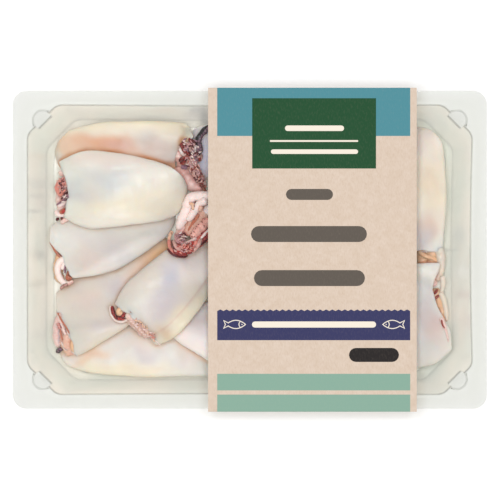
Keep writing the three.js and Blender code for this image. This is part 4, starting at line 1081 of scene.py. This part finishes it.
def card_material(name, ink=None):
    """Kraft card, bare or under a field of ink that the fibres show through a little."""
    look = Look(name)
    stretch = {"Vector": look.where(), "Scale": (1.0, 0.35, 1.0), "Rotation": (0, 0, 0.5)}
    fibre = look.noise(1500, 4, 0.65, look.add("Mapping", stretch).outputs["Vector"])
    cloudy, pale, dark = (linear(colour) for colour in KRAFT_COLOURS)
    colour = look.mixed(look.ramp(look.noise(260, 5, 0.7), 0.3, 0.7, 0, 1), cloudy, pale)
    colour = look.mixed(look.ramp(fibre, 0.45, 0.75, 0, 0.5), colour, dark)
    if ink:
        colour = look.mixed(look.ramp(fibre, 0.5, 0.8, 1, 0.94), colour, linear(ink))
    look.surface({"Base Color": colour, "Roughness": 0.7 if ink else 0.82, "Specular IOR Level": 0.2})
    look.bump(fibre, 0.15, 0.0003)
    return look.material


# ---------------------------------------------------------------- tray and film
POCKET_STEPS = 14
CHAMFER_STEPS = 3
SIDE_STEPS = 28
CORNER_STEPS = 8


def unit(vector):
    return vector / np.linalg.norm(vector)


def eased_corner(corner, before, after, run, steps):
    """A corner between two others, cut by a curve that starts and ends so far from it."""
    start = corner + unit(before - corner) * run
    end = corner + unit(after - corner) * run
    shares = np.linspace(0, 1, steps + 1)
    return [(1 - t) ** 2 * start + 2 * t * (1 - t) * corner + t * t * end for t in shares]


def chamfer_shares(straight):
    """Where the columns of a cut corner stand along it, and the turn of those that lie on the pocket."""
    half = straight / 2
    before = np.linspace(-half, -POCKET_R, CHAMFER_STEPS + 1)[1:]
    turns = np.linspace(0, math.pi, POCKET_STEPS + 1)[1:-1]
    places = np.concatenate([before, -POCKET_R * np.cos(turns), -before[::-1]])
    on_pocket = np.concatenate([np.full(len(before), np.nan), turns, np.full(len(before), np.nan)])
    return places / straight + 0.5, on_pocket


def well_ring(inset_x, inset_y):
    """One level of the well: its points, and for those on a peel pocket the pocket's number and turn."""
    x, y = TRAY_LENGTH / 2 - inset_x, TRAY_WIDTH / 2 - inset_y
    corners = np.array([(x, -y + CHAMFER), (x, y - CHAMFER), (x - CHAMFER, y), (-x + CHAMFER, y),
                        (-x, y - CHAMFER), (-x, -y + CHAMFER), (-x + CHAMFER, -y), (x - CHAMFER, -y)])
    run = CHAMFER_R * math.tan(math.pi / 8)
    points, pockets = [], []
    for k, corner in enumerate(corners):
        before, after = corners[k - 1], corners[(k + 1) % 8]
        curve = eased_corner(corner, before, after, run, CORNER_STEPS)
        points += curve
        pockets += [(-1, np.nan)] * len(curve)
        end, following = curve[-1], after + unit(corner - after) * run
        if k % 2 == 0:
            bow = SIDE_BOW[k // 2]
            shares = np.arange(1, SIDE_STEPS) / SIDE_STEPS
            turns = np.full(len(shares), np.nan)
        else:
            bow = 0
            shares, turns = chamfer_shares(np.linalg.norm(following - end))
        inward = unit(np.array([end[1] - following[1], following[0] - end[0]]))
        for share, turn in zip(shares, turns):
            points.append(lerp(end, following, share) + inward * bow * 4 * share * (1 - share))
            pockets.append((-1 if math.isnan(turn) else k // 2, turn))
    return np.array(points), pockets


def pocket_point(number, turn, radius):
    """A point of the half-round pocket in a cut corner, seen from above."""
    signs = np.array(((1, 1), (-1, 1), (-1, -1), (1, -1))[number])
    mouth_half = np.array([TRAY_LENGTH / 2 - MOUTH[0], TRAY_WIDTH / 2 - MOUTH[1]])
    middle = signs * (mouth_half - CHAMFER / 2)
    outward = unit(signs.astype(float))
    along = np.array([-outward[1], outward[0]])
    return middle - along * radius * math.cos(turn) + outward * radius * math.sin(turn)


def rounded_rectangle(x0, x1, y0, y1, r, steps, along=1):
    """An outline, anticlockwise, with so many steps to a corner and so many to a side."""
    centres = ((x1 - r, y0 + r), (x1 - r, y1 - r), (x0 + r, y1 - r), (x0 + r, y0 + r))
    arcs = []
    for k, centre in enumerate(centres):
        turns = [(k - 1 + t) * math.pi / 2 for t in np.linspace(0, 1, steps + 1)]
        arcs.append([np.array(centre) + r * np.array([math.cos(turn), math.sin(turn)]) for turn in turns])
    points = []
    for arc, following in zip(arcs, arcs[1:] + arcs[:1]):
        points += arc
        points += [lerp(arc[-1], following[0], share) for share in np.arange(1, along) / along]
    return np.array(points)


def inside_polygon(points, polygon):
    x, y = points[:, 0:1], points[:, 1:2]
    x0, y0 = polygon[:, 0], polygon[:, 1]
    x1, y1 = np.roll(x0, -1), np.roll(y0, -1)
    crosses = ((y0 > y) != (y1 > y)) & (x < (x1 - x0) * (y - y0) / np.where(y1 == y0, 1e-12, y1 - y0) + x0)
    return crosses.sum(axis=1) % 2 == 1


def triangulated(loops, lines=()):
    """A flat net of triangles that keeps every edge of the loops and the open lines."""
    points, edges = [], []
    for loop in loops:
        start = len(points)
        points += [Vector(p) for p in loop]
        edges += [(start + i, start + (i + 1) % len(loop)) for i in range(len(loop))]
    for line in lines:
        start = len(points)
        points += [Vector(p) for p in line]
        edges += [(start + i, start + i + 1) for i in range(len(line) - 1)]
    flat, _, faces, *_ = delaunay_2d_cdt(points, edges, [], 0, 1e-5)
    return np.array([(p.x, p.y) for p in flat]), np.array(faces)


# The levels of the well. The rim turns down into the wall, by insets from the mouth and drops. A pocket's
# rim does the same round its radius, down to its own floor.
RIM = ((-0.9, 0), (-0.3, 0.1), (-0.05, 0.4), (0.2, 1.1))
POCKET_Z = FLANGE_Z - POCKET_DEPTH
POCKET_LEVELS = ((POCKET_R + 0.5, FLANGE_Z), (POCKET_R + 0.12, FLANGE_Z - 0.12), (POCKET_R, FLANGE_Z - 0.5),
                 (POCKET_R - 0.1, POCKET_Z + 0.25), (POCKET_R - 0.5, POCKET_Z))
WALL_LEVELS = (32.5, POCKET_Z, POCKET_Z - 1.9, 27, 22, 17, 12, 8.5)
FOOT_LEVELS = (1.06, 0.94, 0.8, 0.6, 0.4, 0.2, 0.08, -0.02)  # shares of the way up to the shoulder
FLAT_LOOK, WALL_LOOK, CRISP_SHADE_LINE, SOFT_SHADE_LINE = range(4)


def well_levels():
    """For each level of the well its inset in X and in Y and its height, from the rim to the floor."""
    levels = [(MOUTH[0] + out, MOUTH[1] + out, FLANGE_Z - drop) for out, drop in RIM]
    slope_x, slope_y = ((SHOULDER[k] - MOUTH[k]) / (MOUTH[2] - SHOULDER[2]) for k in range(2))
    for z in WALL_LEVELS:
        levels.append((MOUTH[0] + slope_x * (FLANGE_Z - z), MOUTH[1] + slope_y * (FLANGE_Z - z), z))
    for t in FOOT_LEVELS:
        rise = (SHOULDER[2] - FLOOR_Z) * max(0, t) ** 2
        levels.append((lerp(BASE[0], SHOULDER[0], t), lerp(BASE[1], SHOULDER[1], t), FLOOR_Z + rise))
    return levels


def well_rings():
    """The points of every level of the well, and which of a level's points lie on a pocket."""
    rings = []
    for number, (inset_x, inset_y, z) in enumerate(well_levels()):
        points, pockets = well_ring(inset_x, inset_y)
        ring = np.column_stack([points, np.full(len(points), z)])
        if number < len(POCKET_LEVELS):
            radius, pocket_z = POCKET_LEVELS[number]
            for i, (which, turn) in enumerate(pockets):
                if which >= 0:
                    ring[i] = (*pocket_point(which, turn, radius), pocket_z)
        rings.append(ring)
    return rings, np.array([which >= 0 for which, _ in pockets])


def well_looks(levels, on_pocket):
    """The material of each face between two levels: crisp painted shade at the rim, soft at the foot."""
    looks = np.full((levels - 1, len(on_pocket)), WALL_LOOK)
    looks[0] = FLAT_LOOK
    looks[1:3] = CRISP_SHADE_LINE
    looks[[levels - len(FOOT_LEVELS), -1]] = SOFT_SHADE_LINE
    looks[3:5, on_pocket] = FLAT_LOOK
    looks[5, on_pocket] = CRISP_SHADE_LINE
    return looks.ravel().tolist()


def build_tray(materials):
    """The tray: its flat flange, its walls, and painted shade along its crisp edges and its soft edges."""
    rings, on_pocket = well_rings()
    vertices = np.concatenate(rings)
    count = len(on_pocket)
    faces = band_faces(len(rings), count).tolist()
    looks = well_looks(len(rings), on_pocket)
    faces.append([len(vertices) - count + i for i in range(count)])
    looks.append(WALL_LOOK)
    half_x, half_y = TRAY_LENGTH / 2, TRAY_WIDTH / 2
    outline = rounded_rectangle(-half_x, half_x, -half_y, half_y, FLANGE_CORNER_R, 10, 6)
    mouth = rings[0][:, :2]
    flat, triangles = triangulated([outline, mouth])
    middles = flat[triangles].mean(axis=1)
    keep = ~inside_polygon(middles, mouth) & inside_polygon(middles, outline)
    faces += (triangles[keep] + len(vertices)).tolist()
    looks += [FLAT_LOOK] * int(keep.sum())
    vertices = np.vstack([vertices, np.column_stack([flat, np.full(len(flat), FLANGE_Z)])])
    piece = make_piece("tray_shell", vertices, faces, materials, "tray", looks)
    weld(piece)
    thicken(piece, WALL)


def weld(piece, distance=0.01):
    """Joins points nearer than the distance, drops loose ones and turns the faces outward."""
    mesh = bmesh.new()
    mesh.from_mesh(piece.data)
    bmesh.ops.remove_doubles(mesh, verts=mesh.verts, dist=distance * MM)
    loose = [v for v in mesh.verts if not v.link_faces]
    bmesh.ops.delete(mesh, geom=loose, context="VERTS")
    bmesh.ops.recalc_face_normals(mesh, faces=mesh.faces)
    mesh.to_mesh(piece.data)
    mesh.free()


FILM_TRIM = 0.4  # how far the film stops short of the flange's edge
FILM_THICKNESS = 0.05
FILM_SLACK = 0.2  # the most that it sags


def build_film(material):
    """The lid: flat where it is sealed to the flange, and a little slack over the well."""
    half_x, half_y, r = (size - FILM_TRIM for size in (TRAY_LENGTH / 2, TRAY_WIDTH / 2, FLANGE_CORNER_R))
    outline = rounded_rectangle(-half_x, half_x, -half_y, half_y, r, 8, 30)
    shares = np.concatenate([[1.0, 0.975, 0.95, 0.93], np.linspace(0.9, 0.04, 30)])
    mouth_half = np.array([TRAY_LENGTH / 2 - MOUTH[0], TRAY_WIDTH / 2 - MOUTH[1]])
    rings = []
    for share in shares:
        xy = outline * share
        free = smoothstep(np.min(mouth_half - np.abs(xy), axis=1), 1, 22)
        slack = 0.10 + 0.07 * ripple(xy * [1, 1.3], 34, 5) + 0.03 * ripple(xy, 11, 6)
        rings.append(np.column_stack([xy, FILM_TOP_Z - 0.03 - free * np.clip(slack, 0, FILM_SLACK)]))
    top = np.concatenate(rings)
    count = len(outline)
    quads = band_faces(len(shares), count)
    faces = quads.tolist() + (quads + len(top))[:, ::-1].tolist()
    last = len(top) - count
    faces.append([last + i for i in range(count)])
    faces.append([last + len(top) + i for i in range(count)][::-1])
    faces += [[i, i + len(top), (i + 1) % count + len(top), (i + 1) % count] for i in range(count)]
    vertices = np.vstack([top, top - [0, 0, FILM_THICKNESS]])
    make_piece("film_sheet", vertices, faces, [material], "film_lid")


# ---------------------------------------------------------------- sleeve
SLEEVE_TOP_HALF = 82.3  # from the card's middle to its upper fold, before the fold is rounded
SLEEVE_BASE_HALF = 66.5  # and to its lower fold
FOLD_R = 1.0


def sleeve_profile():
    """The band's outer section as (distance round it, y, z): from the seam under the middle, round the
    front, over the top (where the distance is y) and back under."""
    z_top, z_base = SLEEVE_HIGH[2], SLEEVE_LOW[2]
    middle, seam = np.array([0.0, z_top]), np.array([0.0, z_base])
    top, base = np.array([SLEEVE_TOP_HALF, z_top]), np.array([SLEEVE_BASE_HALF, z_base])
    folds = eased_corner(top, middle, base, FOLD_R, 6) + eased_corner(base, top, seam, FOLD_R, 6)
    half = np.array([middle] + folds + [seam])
    s = np.concatenate([[0], np.cumsum(np.linalg.norm(np.diff(half, axis=0), axis=1))])
    back = np.column_stack([s, half])
    front = back[:0:-1] * [-1, -1, 1]
    return np.vstack([front, back])


def rectangle(x0, x1, y0, y1):
    return np.array([(x0, y0), (x1, y0), (x1, y1), (x0, y1)])


def toothed_band(x0, x1, y0, y1, teeth, depth):
    """A band whose upper edge is cut in a zig-zag."""
    points = [(x0, y0), (x1, y0)]
    for k in range(2 * teeth + 1):
        points.append((x1 - (x1 - x0) * k / (2 * teeth), y1 - (depth if k % 2 == 0 else 0)))
    return np.array(points)


# A fish's length and half-height, places along its length as shares, and the width of its line.
FISH = {"size": (11.0, 2.1), "waist": 0.79, "tail": 0.92, "fork": 0.92, "gill": 0.3, "eye": 0.16,
        "eye_radius": 0.3, "line": 0.46}


def widened(outline, by):
    """A closed outline with its edge moved outward, the way of its right-hand side, by so much."""
    ahead = np.roll(outline, -1, axis=0) - outline
    ahead /= np.linalg.norm(ahead, axis=1, keepdims=True)
    mitre = ahead + np.roll(ahead, 1, axis=0)
    mitre /= np.linalg.norm(mitre, axis=1, keepdims=True)
    stretch = 1 / np.maximum(0.5, (mitre * ahead).sum(axis=1, keepdims=True))
    return outline + np.column_stack([mitre[:, 1], -mitre[:, 0]]) * by * stretch


def fish_fields(centre, facing):
    """A plain line fish, as fields of ink: a pointed oval that narrows to a forked tail, a gill and an
    eye. Its outline is drawn from the nose, in shares of its length and of its half-height."""
    length, _ = FISH["size"]
    shares = np.linspace(0, FISH["waist"], 13)
    half_heights = np.sin(math.pi * shares / FISH["waist"] * 0.9) ** 0.85
    side = np.vstack([np.column_stack([shares, half_heights]), (1, FISH["tail"])])
    loop = np.vstack([side, (FISH["fork"], 0), (side * [1, -1])[:0:-1]]) * FISH["size"]
    t = np.linspace(-0.7, 0.7, 7)
    gill_line = np.column_stack([FISH["gill"] - 0.11 * t ** 2, t]) * FISH["size"]
    half_line = (FISH["line"] / 2, 0)
    gill = np.vstack([gill_line + half_line, (gill_line - half_line)[::-1]])
    turn = np.linspace(0, 2 * math.pi, 9)[:-1]
    eye = np.column_stack([np.cos(turn), np.sin(turn)]) * FISH["eye_radius"] + [FISH["eye"] * length, 0]
    shapes = (widened(loop, -FISH["line"] / 2), widened(loop, FISH["line"] / 2), gill, eye)
    placed = [(shape - (length / 2, 0)) * [-facing, 1] + centre for shape in shapes]
    return list(zip(("cream", "navy", "cream", "cream"), placed))


# Where the print lies on the card: an ink, two x, and two distances round the card from the middle of its
# top. The bars stand in place of lettering. A fish is a middle and the way it faces.
BLOCK_X = (-16.5, 81.2)
BLOCKS = (("teal", *BLOCK_X, 57.6, 96), ("green", 1.2, 63.9, 41.1, 76.7), ("cream", 10.2, 54.8, 54.6, 55.5),
          ("sage", *BLOCK_X, -71.2, -62.8), ("sage", *BLOCK_X, -94, -73.3))
BAND_Y = (-45.8, -30.2)
TEETH = 31
TOOTH_DEPTH = 0.8
FISH_PLACES = (((-7.7, -37.8), 1), ((72.8, -37.8), -1))
BARS = (("brown", 18.3, 42.1, 25.2, 30.8), ("brown", 0.6, 59.3, 3.9, 12), ("brown", 2.1, 58.3, -18.4, -10.3),
        ("cream", 1.1, 63.9, -39.4, -36.3), ("black", 50.2, 75.5, -56.8, -49.7),
        ("cream", 17.8, 47.7, 60.1, 62.9), ("cream", 10.7, 54.8, 48.5, 50.8))


def print_fields():
    """The fields of colour on the card, the topmost last: an ink and an outline in (x, distance)."""
    fields = [(ink, rectangle(*sides)) for ink, *sides in BLOCKS]
    fields.append(("navy", toothed_band(*BLOCK_X, *BAND_Y, TEETH, TOOTH_DEPTH)))
    for centre, facing in FISH_PLACES:
        fields += fish_fields(centre, facing)
    for ink, x0, x1, y0, y1 in BARS:
        fields.append((ink, rounded_rectangle(x0, x1, y0, y1, (y1 - y0) / 2 - 0.01, 4)))
    return fields


def build_sleeve(cards):
    """The card, cut flat along its folds and its fields of ink, then bent round the tray."""
    profile = sleeve_profile()
    x0, x1 = SLEEVE_LOW[0], SLEEVE_HIGH[0]
    edge = [np.column_stack([np.full(len(profile), x), profile[:, 0]]) for x in (x0, x1)]
    outline = np.vstack([edge[0], edge[1][::-1]])
    folds = [np.array([(x0, s), (x1, s)]) for s in profile[1:-1, 0]]
    fields = print_fields()
    flat, triangles = triangulated([outline] + [shape for _, shape in fields], folds)
    middles = flat[triangles].mean(axis=1)
    inks = np.zeros(len(triangles), int)
    names = list(cards)
    for ink, shape in fields:
        inks[inside_polygon(middles, shape)] = names.index(ink)
    y = np.interp(flat[:, 1], profile[:, 0], profile[:, 1])
    z = np.interp(flat[:, 1], profile[:, 0], profile[:, 2])
    vertices = np.column_stack([flat[:, 0], y, z])
    piece = make_piece("sleeve_card", vertices, triangles, list(cards.values()), "sleeve", inks)
    weld(piece)
    printed = len(piece.data.polygons)
    thicken(piece, CARD - 0.02)
    for polygon in piece.data.polygons:
        polygon.use_smooth = False
        if polygon.index >= printed:
            polygon.material_index = names.index("kraft")


# ---------------------------------------------------------------- stage, lights and camera
PHOTO_WIDTH = 253.15  # how much of the film's level the picture takes in, side to side
LENS = 400
SENSOR = 36
VIEW_CENTRE = (0.1, -0.13)  # what the camera looks down on, close to the tray's middle
LIGHT_DISTANCE = 2.0  # metres
LIGHT_TILT = math.radians(7)  # how far each light stands off the vertical
LAMP_SIZE = 0.3  # metres
LIGHTS = (("key", 130, 8.3), ("left", 215, 7.0), ("right", 310, 6.3), ("back", 40, 7.0))  # turn and watts
LIGHT_COLOUR = (0.885, 0.935, 1.0)  # the lamps are cool and the room is warm, so that hollows turn warm
WORLD_COLOUR = (1.0, 0.93, 0.84)
WORLD_STRENGTH = 0.5
STAGE_REACH = 40.0  # metres
STAGE_DROP = 0.0004  # metres that the stage lies below the tray


def build_stage():
    """A pale floor that reaches far past the view."""
    floor = bpy.data.meshes.new("floor")
    flat = rectangle(-STAGE_REACH, STAGE_REACH, -STAGE_REACH, STAGE_REACH)
    floor.from_pydata([(x, y, -STAGE_DROP) for x, y in flat.tolist()], [], [(0, 1, 2, 3)])
    look = Look("pale_floor")
    look.surface({"Base Color": (0.92, 0.92, 0.92), "Roughness": 0.9, "Specular IOR Level": 0.1,
                  "Emission Color": (1, 1, 1), "Emission Strength": 0.1})
    floor.materials.append(look.material)
    plane = bpy.data.objects.new("floor", floor)
    bpy.context.scene.collection.objects.link(plane)


def add_light(name, place, power):
    data = bpy.data.lights.new(name, "AREA")
    data.shape = "DISK"
    data.size = LAMP_SIZE
    data.energy = power
    data.color = LIGHT_COLOUR
    light = bpy.data.objects.new(name, data)
    light.location = place
    light.rotation_euler = (-Vector(place)).to_track_quat("-Z", "Y").to_euler()
    bpy.context.scene.collection.objects.link(light)


def build_lights():
    """Soft lamps high above, which stand round the pack and look at its middle, and a warm room."""
    world = bpy.data.worlds.new("studio")
    world.use_nodes = True
    background = world.node_tree.nodes["Background"]
    background.inputs["Color"].default_value = (*WORLD_COLOUR, 1)
    background.inputs["Strength"].default_value = WORLD_STRENGTH
    bpy.context.scene.world = world
    flat = math.sin(LIGHT_TILT)
    for name, degrees, power in LIGHTS:
        turn = math.radians(degrees)
        place = Vector((flat * math.cos(turn), flat * math.sin(turn), math.cos(LIGHT_TILT)))
        add_light(name, place * LIGHT_DISTANCE, power)
    bpy.context.scene.view_settings.view_transform = "Standard"


def build_camera():
    """Looks straight down, from far enough that the view is as wide as the photo at the film's height."""
    data = bpy.data.cameras.new("camera")
    data.lens = LENS
    data.sensor_width = SENSOR
    data.clip_end = 100
    camera = bpy.data.objects.new("camera", data)
    distance = PHOTO_WIDTH * LENS / SENSOR
    camera.location = np.array([*VIEW_CENTRE, FILM_TOP_Z + distance]) * MM
    bpy.context.scene.collection.objects.link(camera)
    bpy.context.scene.camera = camera


build_camera()
build_lights()
build_stage()
build_heap(flesh_material(), arm_material())
build_tray([
    clear_material("tray_flange_clear", (196, 201, 184), (200, 204, 190), 0.17, 0.12, 0.1, gloss=0.12),
    # The walls shine faintly, painted light that lightens the well.
    clear_material("tray_wall_clear", (222, 228, 206), (252, 240, 217), 0.28, 0.12, 0.3, painted_glow=0.1,
                   painted_reflections=WALL_REFLECTIONS),
    # Painted shade: the dark lines that the bends of the clear plastic show.
    clear_material("tray_edge_crisp_shade", (112, 114, 96), (128, 128, 108), 0.42, 0.2, 0.1),
    clear_material("tray_edge_soft_shade", (158, 158, 132), (176, 172, 146), 0.3, 0.2, 0.1),
])
build_film(clear_material("film_clear", (240, 242, 240), (236, 236, 232), 0.008, 0.06, 0.15, gloss=0.2))
cards = {"kraft": card_material("kraft")}
cards.update({name: card_material(name + "_ink", ink) for name, ink in INKS.items()})
build_sleeve(cards)
